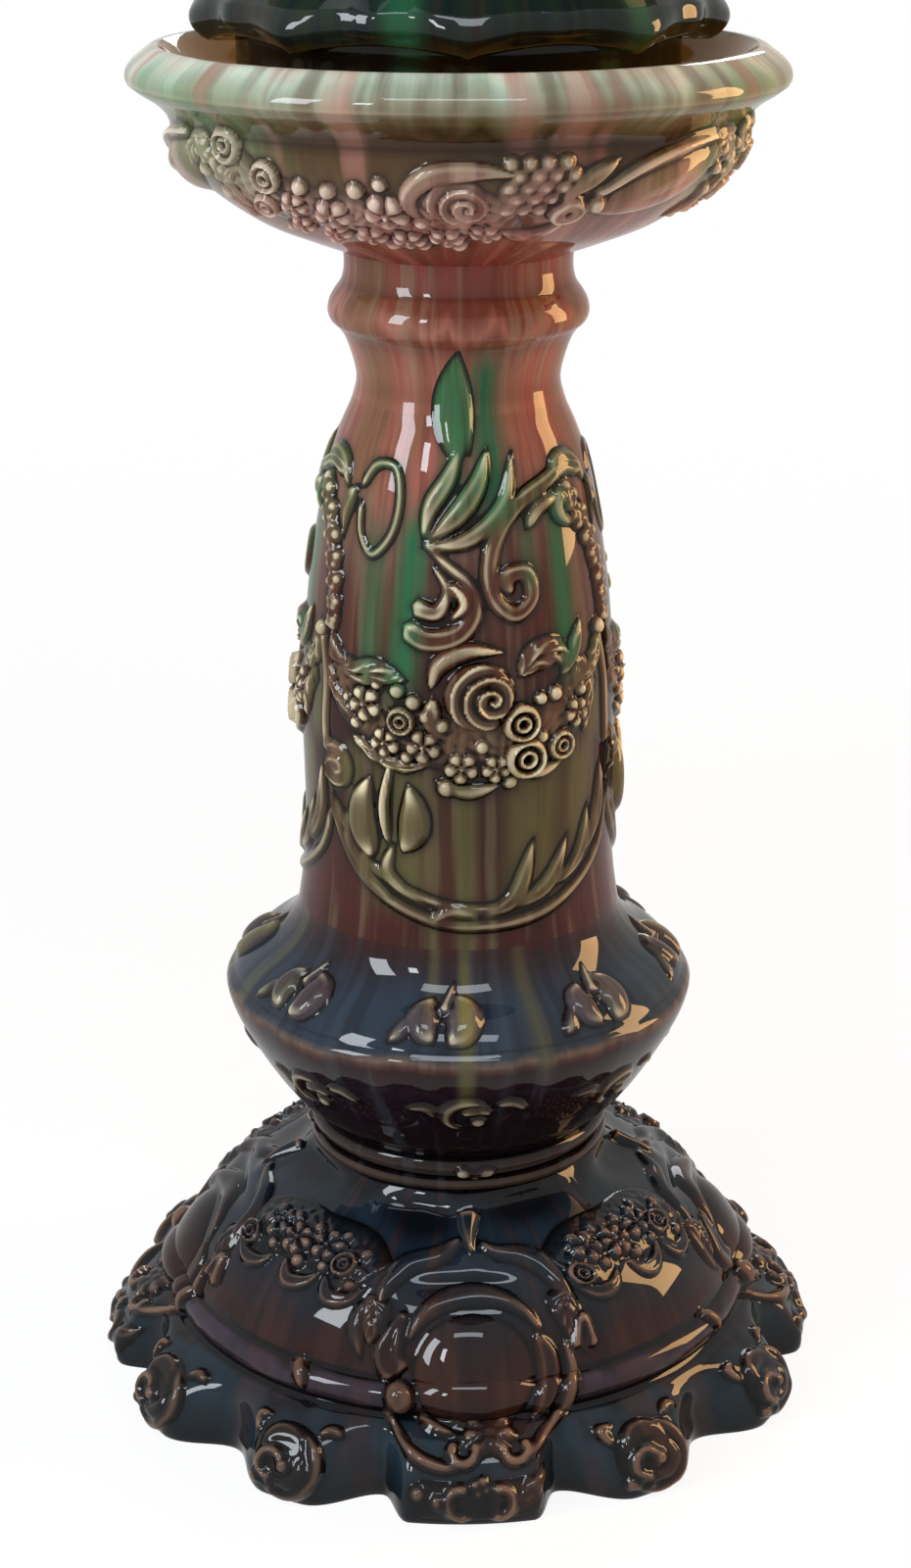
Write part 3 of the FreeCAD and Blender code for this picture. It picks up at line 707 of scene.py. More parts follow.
@dataclass(frozen=True)
class Glaze:
    """Finish of one material slot.

    Attributes:
        slot: Material slot of the record.
        bands: Colours by height in mm, from the bottom up.
        streak: Colour of the fine streaks, and how strong they are.
        tint: Colour of a second, broader set of streaks, and how strong they are.
        green: Colour where the green glaze has run.
        olive: Colour where the olive glaze has run.
        pale: Colour on raised edges.
        dark: Colour where the glaze has pooled, and of the painted dark reflection in the foot dome's
            hollows.
        thin: How strongly raised edges turn pale.
        thick: How strongly hollows turn dark.
        wander: How far the bands run up and down, in mm.
        fine: How narrow the streaks are.
        inside: Colour inside the dish and the bowl; in the dish it is brightened into a painted pool of warm
            sunlight.
        ripple: Depth of the waves in the surface, in mm.
    """

    slot: str
    bands: tuple[tuple[float, str], ...]
    streak: tuple[str, float]
    tint: tuple[str, float] = ("8a6a50", 0.0)
    green: str = "2f7a50"
    olive: str = "6a6338"
    pale: str = "d8c8ae"
    dark: str = "0d0605"
    thin: float = 0.7
    thick: float = 0.85
    wander: float = 26.0
    fine: float = 210.0
    inside: str = "8a5a1e"
    ripple: float = 0.5

    def fire(self, kiln: Kiln) -> bpy.types.Material:
        """Make the material.

        Args:
            kiln: The shared effects.

        Returns:
            The finished material.
        """
        material = bpy.data.materials.new(self.slot)
        material.use_nodes = True
        tree = material.node_tree
        tree.nodes.clear()
        bench = Bench(tree)
        place = bench.add("ShaderNodeTexCoord").outputs["Object"]
        drip = bench.add("ShaderNodeAttribute", attribute_name="drip").outputs["Vector"]
        runs = bench.add("ShaderNodeGroup", node_tree=kiln.runs)
        for key, value in {"Wander": self.wander * MM * 2.2, "Fine": self.fine}.items():
            runs.inputs[key].default_value = value
        tree.links.new(drip, runs.inputs["Drip"])
        low, high = self.bands[0][0], self.bands[-1][0]
        feeds = {"Value": runs.outputs["Height"], "From Min": low * MM, "From Max": high * MM}
        share = bench.add("ShaderNodeMapRange", feeds).outputs[0]
        ramp = bench.add("ShaderNodeValToRGB", {0: share})
        stops = ramp.color_ramp.elements
        while len(stops) > 1:
            stops.remove(stops[-1])
        for index, (height, code) in enumerate(self.bands):
            spot = (height - low) / (high - low)
            stop = stops[0] if index == 0 else stops.new(spot)
            stop.position, stop.color = spot, shade(code)
        colour = ramp.outputs[0]
        for streak, (code, strength) in (("Streak", self.streak), ("Tint", self.tint)):
            colour = bench.blend(bench.math("MULTIPLY", runs.outputs[streak], strength), colour, shade(code))
        for name, code in (("olive", self.olive), ("green", self.green)):
            mask = bench.add("ShaderNodeAttribute", attribute_name=name).outputs["Fac"]
            uneven = bench.math("MULTIPLY_ADD", runs.outputs["Streak"], -0.35, 1.1)
            mask = bench.math("MULTIPLY", mask, uneven)
            colour = bench.blend(mask, colour, shade(code))
        ridge = bench.add("ShaderNodeAttribute", attribute_name="ridge").outputs["Fac"]
        pool_and_dark_reflection = bench.add("ShaderNodeAttribute", attribute_name="pool_and_dark_reflection").outputs["Fac"]
        lift = bench.add("ShaderNodeAttribute", attribute_name="lift").outputs["Fac"]
        breaks = bench.add("ShaderNodeGroup", node_tree=kiln.breaks)
        shares = {"Color": colour, "Ridge": ridge, "Pool_and_dark_reflection": pool_and_dark_reflection, "Lift": lift, "Cloud": runs.outputs["Cloud"]}
        for key, value in shares.items():
            tree.links.new(value, breaks.inputs[key])
        for key, value in {"Pale": shade(self.pale), "Dark": shade(self.dark), "Thin": self.thin,
                           "Thick": self.thick}.items():
            breaks.inputs[key].default_value = value
        # inside colour: the bowl's inside, and in the dish's recess a painted pool of warm sunlight
        inside = bench.add("ShaderNodeAttribute", attribute_name="inside").outputs["Fac"]
        colour = bench.blend(inside, breaks.outputs["Color"], shade(self.inside))
        ripple = bench.add("ShaderNodeGroup", node_tree=kiln.ripple)
        tree.links.new(place, ripple.inputs["Place"])
        ripple.inputs["Scale"].default_value = 32.0
        bump = bench.add("ShaderNodeBump", {"Height": ripple.outputs["Height"], "Strength": 0.6,
                                            "Distance": self.ripple * MM})
        rough = bench.math("MULTIPLY_ADD", runs.outputs["Cloud"], 0.12, 0.24)
        shader = bench.add("ShaderNodeBsdfPrincipled", {
            "Base Color": colour, "Roughness": rough, "Normal": bump.outputs[0],
            "Coat Weight": 0.6, "Coat Roughness": 0.025, "Coat IOR": 1.38, "Specular IOR Level": 0.0,
        })
        out = bench.add("ShaderNodeOutputMaterial")
        tree.links.new(shader.outputs[0], out.inputs["Surface"])
        return material


GLAZES = (
    # foot_glaze: the blue-grey bands from 84 to 112 mm tint the dome as a painted reflection of a bluish sky;
    # the lighter bands at 41 and 49 mm are the roll moulding's painted highlight
    Glaze("foot_glaze", (
        (0, "0a0b0d"), (8, "141b20"), (22, "1b2a32"), (34, "16222b"), (37, "0b0607"), (41, "2a2026"),
        (49, "342a35"), (53, "1e0d0b"), (60, "260f0b"), (70, "1c1316"), (84, "131c26"), (100, "17232f"),
        (112, "18222c"), (118, "0b0809")), ("0d1219", 0.45), ("3a2420", 0.35), dark="040406", pale="8a6a58",
          thin=0.25, thick=0.85, wander=8, ripple=1.1),
    # the blue-grey bands from 104 mm up tint the dome's relief as a painted reflection of a bluish sky
    Glaze("foot_relief_glaze", (
        (0, "10100f"), (20, "1a1614"), (34, "211614"), (50, "2e150e"), (66, "241311"), (84, "16171c"),
        (104, "141c25"), (118, "121920")), ("0d1217", 0.5), ("3e261c", 0.45), dark="030303", pale="94735c",
          thin=0.5, thick=0.92, wander=8, ripple=0.9),
    # the blue-grey bands at 210 and 228 mm tint the knop's upward face as a painted reflection of a bluish
    # sky
    Glaze("knop_glaze", (
        (118, "0e0605"), (138, "120807"), (165, "160b0e"), (190, "1c1219"), (202, "260f0c"), (205, "4a3028"),
        (207, "5c4c40"), (210, "232c36"), (228, "1e2b38"), (240, "241c20"), (250, "32120c")),
          ("120d12", 0.45), ("38404a", 0.25), olive="4e4a2c", dark="040203", pale="5e4a3e", thin=0.35,
          thick=0.8, wander=3,
          ripple=0.9),
    Glaze("knop_relief_glaze", (
        (118, "1c0c09"), (180, "27130f"), (205, "30282a"), (220, "3c363a"), (250, "4a3434")),
          ("20181c", 0.5), ("55543f", 0.4), dark="050303", pale="b8ac90", thin=0.8, thick=0.9, wander=8,
          ripple=0.7),
    Glaze("column_glaze", (
        (250, "32120c"), (268, "3e1710"), (300, "33160f"), (345, "220e09"), (372, "331811"), (400, "452218"),
        (428, "50332a"), (450, "694a40"), (470, "805044"), (490, "8a4e40"), (500, "8c5043")),
          ("2c120c", 0.45), ("6c5c48", 0.35), green="1c5434", olive="4c4729", dark="070303", pale="b89a80",
          thin=0.6, thick=0.92, ripple=0.45),
    Glaze("column_relief_glaze", (
        (250, "34160e"), (290, "42301c"), (325, "4c4028"), (345, "5c4632"), (385, "503828"), (400, "442214"),
        (430, "502e20"), (455, "4c4028"), (480, "465634"), (500, "38683f")),
          ("2c120a", 0.55), ("74664a", 0.3), green="265e3c", olive="544d30", dark="050201", pale="d0c2a0",
          thin=0.9, thick=0.97, ripple=0.4),
    # the lighter band at 541 mm is the collar's painted highlight
    Glaze("neck_glaze", (
        (500, "8c5043"), (520, "8a5042"), (534, "744034"), (541, "945c4e"), (549, "6e3a2e"), (560, "7a4034"),
        (568, "803c32")), ("5a2a1e", 0.35), ("84705c", 0.45), green="1c5434", olive="4c4729", dark="2a0e0b",
          pale="cdaa98", thin=0.6, thick=0.7, wander=10, ripple=0.4),
    # dish_glaze: its inside colour is the recess's amber, brightened into a painted pool of warm sunlight
    Glaze("dish_glaze", (
        (568, "7c2e24"), (578, "783d32"), (592, "744c42"), (606, "5e4c34"), (620, "463820"), (632, "342912"),
        (638, "5c5236"), (646, "7d7c66"), (652, "8b9682"), (657, "a9b3a0"), (660, "b8b4a2")),
          ("4c3020", 0.6), ("a06c60", 0.5), green="4c7450", dark="1c0c06", pale="d2cab4", thin=0.5,
          thick=0.85, wander=9, fine=150, inside="f0aa48", ripple=0.4),
    Glaze("dish_relief_glaze", (
        (568, "8c463c"), (586, "8e6058"), (602, "8e6c60"), (618, "77664a"), (632, "5e5638")),
          ("563428", 0.5), ("b09080", 0.4), green="50704e", dark="1e0c08", pale="d8c6b2", thin=0.8,
          thick=0.85, ripple=0.3),
    Glaze("jardiniere_glaze", (
        (640, "050606"), (664, "080c0c"), (676, "10181a"), (700, "161e1a"), (740, "44361e"), (790, "644634"),
        (840, "744036"), (880, "84705a"), (905, "8e9480"), (916, "a49e8a")), ("1c2818", 0.5), ("3c2a22", 0.2),
          dark="0a0504", pale="c8c0a8", thin=0.5, thick=0.85, wander=22, inside="c88434"),
    Glaze("jardiniere_relief_glaze", (
        (640, "1c241e"), (740, "5c4a36"), (790, "82604e"), (850, "8a5c4c"), (916, "988468")),
          ("48322a", 0.45), ("a89478", 0.4), dark="140806", pale="d6c8b2", thin=0.85, thick=0.9),
)


# ------------------------------------------------------------------ sections
@dataclass(frozen=True)
class Drop:
    """Place where a coloured glaze has run down, in view azimuth and height."""

    azimuth: float
    width: float
    top: float
    bottom: float
    strength: float = 1.0
    sway: float = 0.0

    def share(self, azimuth: np.ndarray, height: np.ndarray, count: int) -> np.ndarray:
        """How much of the glaze lies at some places, with the drop repeated round the axis."""
        pitch = 360 / count
        middle = self.azimuth + VIEW_TURN + self.sway * (height - self.bottom) / (self.top - self.bottom)
        aside = (azimuth - middle + pitch / 2) % pitch - pitch / 2
        across = np.exp(-np.abs(aside / (self.width / 2)) ** 3)
        soft = 0.25 * (self.top - self.bottom)
        up = eased(height, self.bottom - soft * 0.2, self.bottom + soft)
        up = up * (1 - eased(height, self.top - soft, self.top))
        return self.strength * across * up


@dataclass
class Section:
    """Round section of the object with its own ornament."""

    body: str
    node: str
    slot: str
    wall: Surface
    hollow: list[Run]
    steps: int
    spacing: float
    panels: dict[str, list[Panel]] = field(default_factory=dict)
    green: list[Drop] = field(default_factory=list)
    olive: list[Drop] = field(default_factory=list)
    repeats: int = 3
    grain: float = 0.98

    def build(self) -> bpy.types.Object:
        """Turn the wall from its outline."""
        outer = outline(self.wall.runs, self.spacing)
        hollow = outline(self.hollow, self.spacing * 3)
        return turn_wall(self.node, np.concatenate([outer, hollow[1:-1]]), self.steps, closed=True)

    def shape(self, piece: bpy.types.Object) -> None:
        """Change the turned wall where it isn't round."""

    def inside_and_sunlight_share(self, places: np.ndarray) -> np.ndarray:
        """Where the amber inside colour shows; in the dish's recess it is a painted pool of warm sunlight."""
        return np.zeros(len(places))

    def dark_reflection_share(self, azimuth: np.ndarray, height: np.ndarray) -> np.ndarray:
        """Where the wall's hollows are painted dark as a painted dark reflection."""
        return np.zeros(len(azimuth))

    def dress(self, piece: bpy.types.Object) -> None:
        """Store what the glaze needs on a piece: its drips, and where the inside colour shows, which in the
        dish is painted warm sunlight.
        """
        places = coordinates(piece)
        azimuth, height = azimuth_of(places), places[:, 2]
        angle = np.radians(azimuth)
        drip = np.stack([DRIP_RADIUS * np.sin(angle), -DRIP_RADIUS * np.cos(angle), height], axis=1) * MM
        mark_points(piece, "drip", drip)
        for name, drops in (("green", self.green), ("olive", self.olive)):
            total = np.zeros(len(places))
            for drop in drops:
                total = np.maximum(total, drop.share(azimuth, height, self.repeats))
            mark_points(piece, name, total.clip(0, 1))
        # where the inside colour goes; in the dish it is a painted pool of warm sunlight
        mark_points(piece, "inside", self.inside_and_sunlight_share(places))

    def pool_and_dark_reflection(self, piece: bpy.types.Object) -> None:
        """Store where glaze pools beside the relief, where the dome's hollows are painted dark as a painted
        reflection, and how sharply the wall turns.
        """
        places = coordinates(piece)
        azimuth, height = azimuth_of(places), places[:, 2]
        radius = np.hypot(places[:, 0], places[:, 1])
        run = self.wall.run_at(height)
        shift = self.wall.shift(azimuth, height) if self.wall.shift else 0
        outside = radius > self.wall.radius_at(run) + shift - 3
        near = np.full(len(places), FAR_BELOW)
        for panels in self.panels.values():
            for panel in panels:
                near[outside] = np.maximum(near[outside], panel.rise_at(azimuth[outside], run[outside]))
        beside = np.exp(-np.maximum(-near, 0) / 1.5) * (near > FAR_BELOW + 1)
        # glaze pooled beside the relief, plus the painted dark reflection in the dome's hollows
        mark_points(piece, "pool_and_dark_reflection", np.maximum(beside, self.dark_reflection_share(azimuth, height) * outside))
        mark_points(piece, "lift", np.ones(len(places)))
        line, length = self.wall.line, self.wall.length
        heading = np.unwrap(np.arctan2(np.gradient(line[:, 1]), np.gradient(line[:, 0])))
        reach = 2.6
        turn = np.interp(length + reach, length, heading) - np.interp(length - reach, length, heading)
        sharp = np.interp(run, length, turn)
        crest = np.where(sharp > 0, ((sharp - 0.55) * 1.3).clip(0, 1), sharp.clip(-1, 0))
        mark_points(piece, "ridge", np.where(outside, crest, 0))

    def make(self, materials: dict[str, bpy.types.Material]) -> None:
        """Build the wall and its relief, dress them and put them in their body."""
        wall = self.build()
        self.shape(wall)
        self.dress(wall)
        self.pool_and_dark_reflection(wall)
        self.finish(wall, self.node, self.slot, materials)
        for node, panels in self.panels.items():
            relief = lay_relief(node, panels, self.grain * (0.9 if panels[0].crisp else 1.0))
            self.dress(relief)
            self.finish(relief, node, self.slot.replace("_glaze", "_relief_glaze"), materials)

    def finish(self, piece: bpy.types.Object, node: str, slot: str,
               materials: dict[str, bpy.types.Material]) -> None:
        """Smooth a piece, give it its material and tie it to its body and node."""
        only(piece)
        bpy.ops.object.shade_smooth_by_angle(angle=math.radians(SMOOTH_ANGLE))
        piece.data.materials.clear()
        piece.data.materials.append(materials[slot])
        piece.name = piece.data.name = f"{node}_glazed"
        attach(piece, self.body)
        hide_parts(node)
        LOG.info("%s: %d faces", piece.name, len(piece.data.polygons))


# the outline of the stand, from the floor to the lip of the dish, as (radius, height)
SKIRT_FACE = [(179, 0), (180, 2), (180, 9.5), (178, 13), (170, 26), (160.5, 33), (152.5, 36.5)]
FOOT_RUNS = [
    SKIRT_FACE,
    [(152.5, 36.5), (150, 37.2), (148.2, 38.8)],
    [(148.2, 38.8), (149.6, 43), (149, 48), (145.5, 51.5), (142.5, 52.5)],
    [(142.5, 52.5), (141.2, 56), (138, 62), (128, 78), (108, 94), (84, 108), (75, 115), (72, 118)],
]
FOOT_HOLLOW = [
    [(72, 118), (64, 118)],
    [(64, 118), (78, 104), (100, 86), (122, 66), (134, 50), (136, 43)],
    [(136, 43), (140, 35), (146, 28), (161, 18), (171, 4), (171, 0)],
    [(171, 0), (179, 0)],
]
KNOP_RUNS = [
    [(72, 118), (72.5, 119.5)],
    [(72.5, 119.5), (75.3, 121), (75.8, 123), (75.3, 125.5), (72.3, 127)],
    [(72.3, 127), (72.3, 128.5)],
    [(72.3, 128.5), (75.6, 130.3), (76, 133), (75.3, 135.8), (73, 137.3)],
    [(73, 137.3), (76, 141), (82, 146), (92, 158), (104, 177), (113, 194), (116, 203), (116.4, 206.5)],
    [(116.4, 206.5), (114.8, 209.3), (113, 210.5)],
    [(113, 210.5), (109.5, 215.5), (102, 222.5), (91.6, 229.5), (83.5, 238), (80, 245), (79, 250)],
]
KNOP_HOLLOW = [
    [(79, 250), (71, 250)],
    [(71, 250), (84, 225), (104, 207), (107, 202), (97, 181), (80, 157), (66, 141), (64, 134), (64, 118)],
    [(64, 118), (72, 118)],
]
COLUMN_RUNS = [[
    (79, 250), (77.3, 262), (76, 276), (75.2, 300), (75.4, 315), (76, 353), (74.3, 381), (71.8, 410),
    (67.7, 438), (62, 467), (55.5, 486), (50.8, 496.5), (49.6, 500),
]]
COLUMN_HOLLOW = [
    [(49.6, 500), (41, 500)],
    [(41, 500), (54, 468), (65, 400), (67, 330), (71, 250)],
    [(71, 250), (79, 250)],
]
NECK_RUNS = [
    [(49.6, 500), (48, 506), (47.9, 511), (49.7, 519), (53.4, 529), (56.3, 533)],
    [(56.3, 533), (59.5, 536), (60.8, 540), (59.9, 545), (57.4, 549.5)],
    [(57.4, 549.5), (54.6, 553.5), (53.3, 558), (53, 563), (53.3, 568)],
]
NECK_HOLLOW = [
    [(53.3, 568), (45.5, 568)],
    [(45.5, 568), (45, 550), (41, 520), (41, 500)],
    [(41, 500), (49.6, 500)],
]
DISH_RUNS = [
    [(53.3, 568), (58, 570), (73, 575.6), (91, 583), (109, 594.5), (120, 604), (127, 613.5), (130, 621),
     (130.6, 627)],
    [(130.6, 627), (132.5, 631), (138, 636.3), (145, 640.6), (148.8, 643.4)],
    [(148.8, 643.4), (150, 646), (149.3, 650), (146.3, 653.6), (142.5, 656.6), (139.5, 658.8),
     (137.6, 659.8)],
]
DISH_INSIDE = [
    [(137.6, 659.8), (136, 660), (134, 659.6), (132.8, 658)],
    [(132.8, 658), (128.5, 651), (124.3, 644), (121.8, 640.8)],
    [(121.8, 640.8), (119.5, 640), (60, 640), (0, 640)],
]
DISH_UNDER = [
    [(0, 631), (112, 631)],
    [(112, 631), (113, 622), (101, 598), (45.5, 568)],
    [(45.5, 568), (53.3, 568)],
]
POT_FOOT_UNDER = [
    [(0, 655), (91, 655)],
    [(91, 655), (91, 641)],
    [(91, 641), (92, 640), (99, 640), (100, 641)],
]
POT_FOOT_RUNS = [
    [(100, 641), (100, 662.2)],
    [(100, 662.2), (111, 662.2)],
    [(111, 662.2), (113.4, 664), (117, 672), (118, 676), (117, 681)],
    [(117, 681), (110, 687.5), (105, 692), (103, 698)],
]
POT_FOOT_INSIDE = [[(103, 698), (94, 698)], [(94, 698), (91.5, 670), (88, 664), (0, 664)]]
POT_RUNS = [
    [(103, 698), (104.5, 703), (118, 720), (138, 745), (152, 768), (158, 790), (156.5, 810), (147.5, 835),
     (134, 856), (127, 866)],
    [(127, 866), (126.4, 871), (129, 882), (139, 896), (149.5, 905)],
    [(149.5, 905), (152.5, 907.5), (153, 911), (150.8, 915), (147.5, 916)],
]
POT_HOLLOW = [
    [(147.5, 916), (144.3, 914.5), (133, 901), (120, 885), (117, 872), (118, 866)],
    [(118, 866), (128, 850), (139, 830), (147.5, 808), (149, 790), (143.5, 770), (130, 748), (108, 719),
     (95.5, 704), (94, 698)],
    [(94, 698), (103, 698)],
]

LOBES = 12
FLAT_LOBE_EVERY = 3
SKIRT_TOP = 36.5                # height of the groove over the skirt
SKIRT_EDGE = 11.0               # height of the upright edge of the lobes
LOBE_DEPTH = 20.0               # how far the scallops lie behind the lobes' tips


def lobe_inset(azimuth: np.ndarray, height: np.ndarray, lift: float = 0.0) -> np.ndarray:
    """How far the scalloped skirt stands back from its lobes' tips.

    Args:
        azimuth: Azimuths, in degrees.
        height: Heights, in mm.
        lift: How much higher the outside is than the place, for the inside of the skirt.

    Returns:
        Shift of the radius, in mm, never above zero.
    """
    pitch = 360 / LOBES
    lobe = np.round(azimuth / pitch)
    aside = np.abs(azimuth - lobe * pitch)
    flat = np.mod(lobe, FLAT_LOBE_EVERY) == 0
    start = np.where(flat, 9.6, 3.2)
    drop = 0.5 - 0.5 * np.cos(np.pi * np.clip((aside - start) / (pitch / 2 - start), 0, 1))
    share = 1 - (np.clip(height + lift - SKIRT_EDGE, 0, None) / (SKIRT_TOP - SKIRT_EDGE)).clip(0, 1) ** 1.9
    return -LOBE_DEPTH * drop * share


BARE_FOOT = Surface(FOOT_RUNS)
MEDALLIONS = 4
MEDALLION_AZIMUTH = 1.0
MEDALLION_HEIGHT = 58.0
# soft hollows and swellings of the dome: across and up from a medallion, half sizes, and how far out
FOOT_SWELLS = (
    (-24, 76, 20, 13, -5.0), (31, 81, 24, 11, -5.0), (-3, 40, 24, 6.5, -3.5), (-48, 44, 13, 10, 2.5),
    (52, 42, 12, 10, 2.5), (3, 66, 8, 12, 2.5), (-72, 62, 16, 10, 2.0), (76, 64, 14, 10, 2.0),
)


def dome_swell(azimuth: np.ndarray, height: np.ndarray, sign: int) -> np.ndarray:
    """Sum of the dome's soft hollows (sign -1) or swellings (sign 1), in mm."""
    run = BARE_FOOT.run_at(height)
    pitch = 360 / MEDALLIONS
    aside = (azimuth - MEDALLION_AZIMUTH + pitch / 2) % pitch - pitch / 2
    x = np.radians(aside) * BARE_FOOT.radius_at(run)
    y = run - BARE_FOOT.run_at(MEDALLION_HEIGHT)
    total = np.zeros(np.broadcast(azimuth, height).shape)
    for across, up, wide, tall, depth in FOOT_SWELLS:
        if depth * sign > 0:
            total = total + depth * np.exp(-((((x - across) / wide) ** 2 + ((y - up) / tall) ** 2) ** 1.5))
    return total * eased(height, 52, 58) * (1 - eased(height, 112, 118))


def foot_shift(azimuth: np.ndarray, height: np.ndarray) -> np.ndarray:
    """How far the foot's wall stands out of its outline, in mm."""
    lobe = np.round(azimuth * LOBES / 360)
    bulge = 3.2 * np.exp(-(((azimuth - lobe * 360 / LOBES) / 8.5) ** 2)) * np.exp(-(((height - 19) / 9) ** 2))
    bulge = np.where(np.mod(lobe, FLAT_LOBE_EVERY) == 0, 0.4 * bulge, bulge)
    inset = np.where(height < SKIRT_TOP, lobe_inset(azimuth, height), 0.0)
    return inset + bulge + dome_swell(azimuth, height, 1) + dome_swell(azimuth, height, -1)


class Foot(Section):
    """Domed foot with its roll moulding and scalloped skirt."""

    def __init__(self) -> None:
        """Set the sizes and draw the ornament."""
        wall = Surface(FOOT_RUNS, foot_shift)
        super().__init__("stand", "stand_foot", "foot_glaze", wall, FOOT_HOLLOW, 480, 1.9)
        self.repeats = 4
        self.panels = {
            "foot_medallions": [self.medallion()],
            "foot_scroll_frames": [self.frame()],
            "foot_rosettes": [self.rosette(30.0), self.rosette(60.0)],
            "foot_sprays": [self.spray()],
            "foot_lobe_scrolls": [self.lobe_scroll()],
        }

    def shape(self, piece: bpy.types.Object) -> None:
        """Press the scallops and the hollows into the wall, inside and out."""
        places = coordinates(piece)
        azimuth, height = azimuth_of(places), places[:, 2]
        radius = np.hypot(places[:, 0], places[:, 1])
        outer = radius > self.wall.radius_at(self.wall.run_at(height)) - 3.5
        low = (height < SKIRT_TOP) & (radius > 137)
        inset = np.where(low, lobe_inset(azimuth, height, 8.0), 0.0)
        shift = np.where(outer, foot_shift(azimuth, height), inset)
        places[:, :2] *= ((radius + shift) / radius)[:, None]
        put(piece, places)

    def dark_reflection_share(self, azimuth: np.ndarray, height: np.ndarray) -> np.ndarray:
        """The hollows of the dome, painted dark as a painted dark reflection."""
        return (-dome_swell(azimuth, height, -1) / 4.2).clip(0, 1)

    def medallion(self) -> Panel:
        """Smooth domed medallion."""
        return Panel(self.wall, MEDALLION_AZIMUTH, MEDALLION_HEIGHT, MEDALLIONS, [Dome(0, -2, 29.0, 6.5)])

    def frame(self) -> Panel:
        """Scrolls round the medallion and the hood over it."""
        return Panel(self.wall, MEDALLION_AZIMUTH, MEDALLION_HEIGHT, MEDALLIONS, [
            Stroke(arc(0, 0, 34.5, 158, 22, 3.0), 8.5, 3.4, LEAF),
            Stroke([(30, 16), (36, 4), (36, -12), (27, -28)], 10.0, 4.5, LEAF, gutter=0.4),
            Stroke([(44, 12), (48, -3), (45, -18), (37, -31), (27, -39)], 7.0, 4.6, LEAF, gutter=0.25),
            Stroke([(-32, 27), (-38, 16), (-41, 5), (-36, -3)], 14.0, 5.4, TONGUE, gutter=0.55),
            Dome(-36, -14, 8.0, 6.2),
            Stroke([(-41, -19), (-39, -29), (-32, -38)], 6.0, 4.0, HORN),
            Stroke([(-27, -22), (-19, -30), (-9, -34)], 6.0, 2.8, LEAF),
            Blossom(6, -33, 13.5, 4.6, 7, 0.2),
            Stroke(arc(-7, -43, 4.6, 120, 400, 1.8), 4.6, 4.2, BAR),
            Stroke(arc(19, -43, 4.4, 60, -210, 1.8), 4.6, 4.2, BAR),
            Stroke([(-4, -49), (-16, -50), (-28, -46), (-37, -37), (-42, -26)], 6.0, 3.6, LEAF),
            Stroke([(16, -48), (27, -44), (37, -34), (45, -21)], 6.0, 3.6, LEAF),
            Stroke([(-3, 68), (-14, 58), (-30, 51), (-42, 37), (-46, 24)], 9.0, 3.2, LEAF),
            Stroke([(5, 67), (12, 60), (27, 55), (40, 44), (48, 29), (50, 16)], 9.0, 3.2, LEAF),
            Stroke([(-52, 30), (-57, 16), (-55, 2)], 7.0, 2.4, LEAF),
            Stroke([(1, 82), (0, 72), (1, 60)], 9.0, 4.2, HORN),
            Stroke([(50, 5), (54, 19), (61, 4)], 5.0, 3.8, BAR),
            Stroke([(55.5, 3), (55.5, 15)], 5.0, 2.4, LEAF),
            Stroke([(-86, -3), (-88, -11), (-86, -20)], 8.0, 3.2, LEAF),
        ])

    def rosette(self, azimuth: float) -> Panel:
        """Curled rosette in a C-scroll on a round lobe."""
        return Panel(self.wall, azimuth, 20.0, MEDALLIONS, [
            Dome(-1, -1, 18.0, 1.5),
            Stroke(arc(0, -2, 16.0, 80, -150), 6.0, 4.0, LEAF, gutter=0.15),
            Stroke([(-14, 3), (-7, 11), (3, 11), (9, 5)], 8.0, 4.4, LEAF, gutter=0.3),
            Stroke([(9, 3), (9, -6), (2, -11), (-5, -9)], 7.0, 4.2, LEAF, gutter=0.3),
            Stroke(arc(-6, -3, 6.0, 20, 290), 5.0, 4.6, BAR),
            Dome(1, -2, 4.2, 5.0), Bud(-14, -12, 4.0, 3.4), Bud(-5, -14, 3.2, 3.2),
            Stroke([(-19, 6), (-21, 14), (-15, 18)], 6.0, 3.0, LEAF),
            Stroke([(12, 14), (18, 17), (24, 13)], 6.0, 2.6, LEAF),
        ])

    def spray(self) -> Panel:
        """Flowers and leaves on the dome."""
        return Panel(self.wall, 46.0, 93.0, MEDALLIONS, [
            Stroke([(-40, -8), (-22, 4), (0, 6), (20, 4), (38, -10)], 25, 1.7, BAR, lumps=0.35),
            Blossom(-24, 4, 10.5, 5.8, 5), Blossom(-7, 1, 10.5, 6.2, 6, 0.1),
            Blossom(11, 4, 10.5, 5.8, 5, 1.0), Eye(25, -3, 7.5, 4.4), Bud(-15, 11, 4.5, 4.0),
            Bud(1, 11, 4.5, 4.0), Bud(17, 12, 4, 3.6), Eye(-36, -8, 7, 4.4), Bud(-20, -7, 4, 3.8),
            Bud(0, -9, 4.5, 4.2), Bud(15, -7, 4, 3.8), Bud(34, -12, 4.4, 4.0), Bud(-31, 6, 3.6, 3.6),
            Bud(32, 5, 3.8, 3.8),
            Stroke([(-44, -8), (-34, -19), (-22, -18), (-15, -11)], 7, 4.0, LEAF, gutter=0.4),
            Stroke([(-8, -10), (0, -19), (10, -17), (16, -9)], 7, 4.0, LEAF, gutter=0.4),
            Stroke([(18, -10), (26, -20), (36, -19), (42, -10)], 7, 3.8, LEAF, gutter=0.4),
            Stroke([(-46, -12), (-54, -22), (-58, -36)], 12, 3.4, LEAF, veins=4),
            Stroke([(45, -14), (53, -24), (56, -38)], 12, 3.4, LEAF, veins=4),
        ], crisp=True)

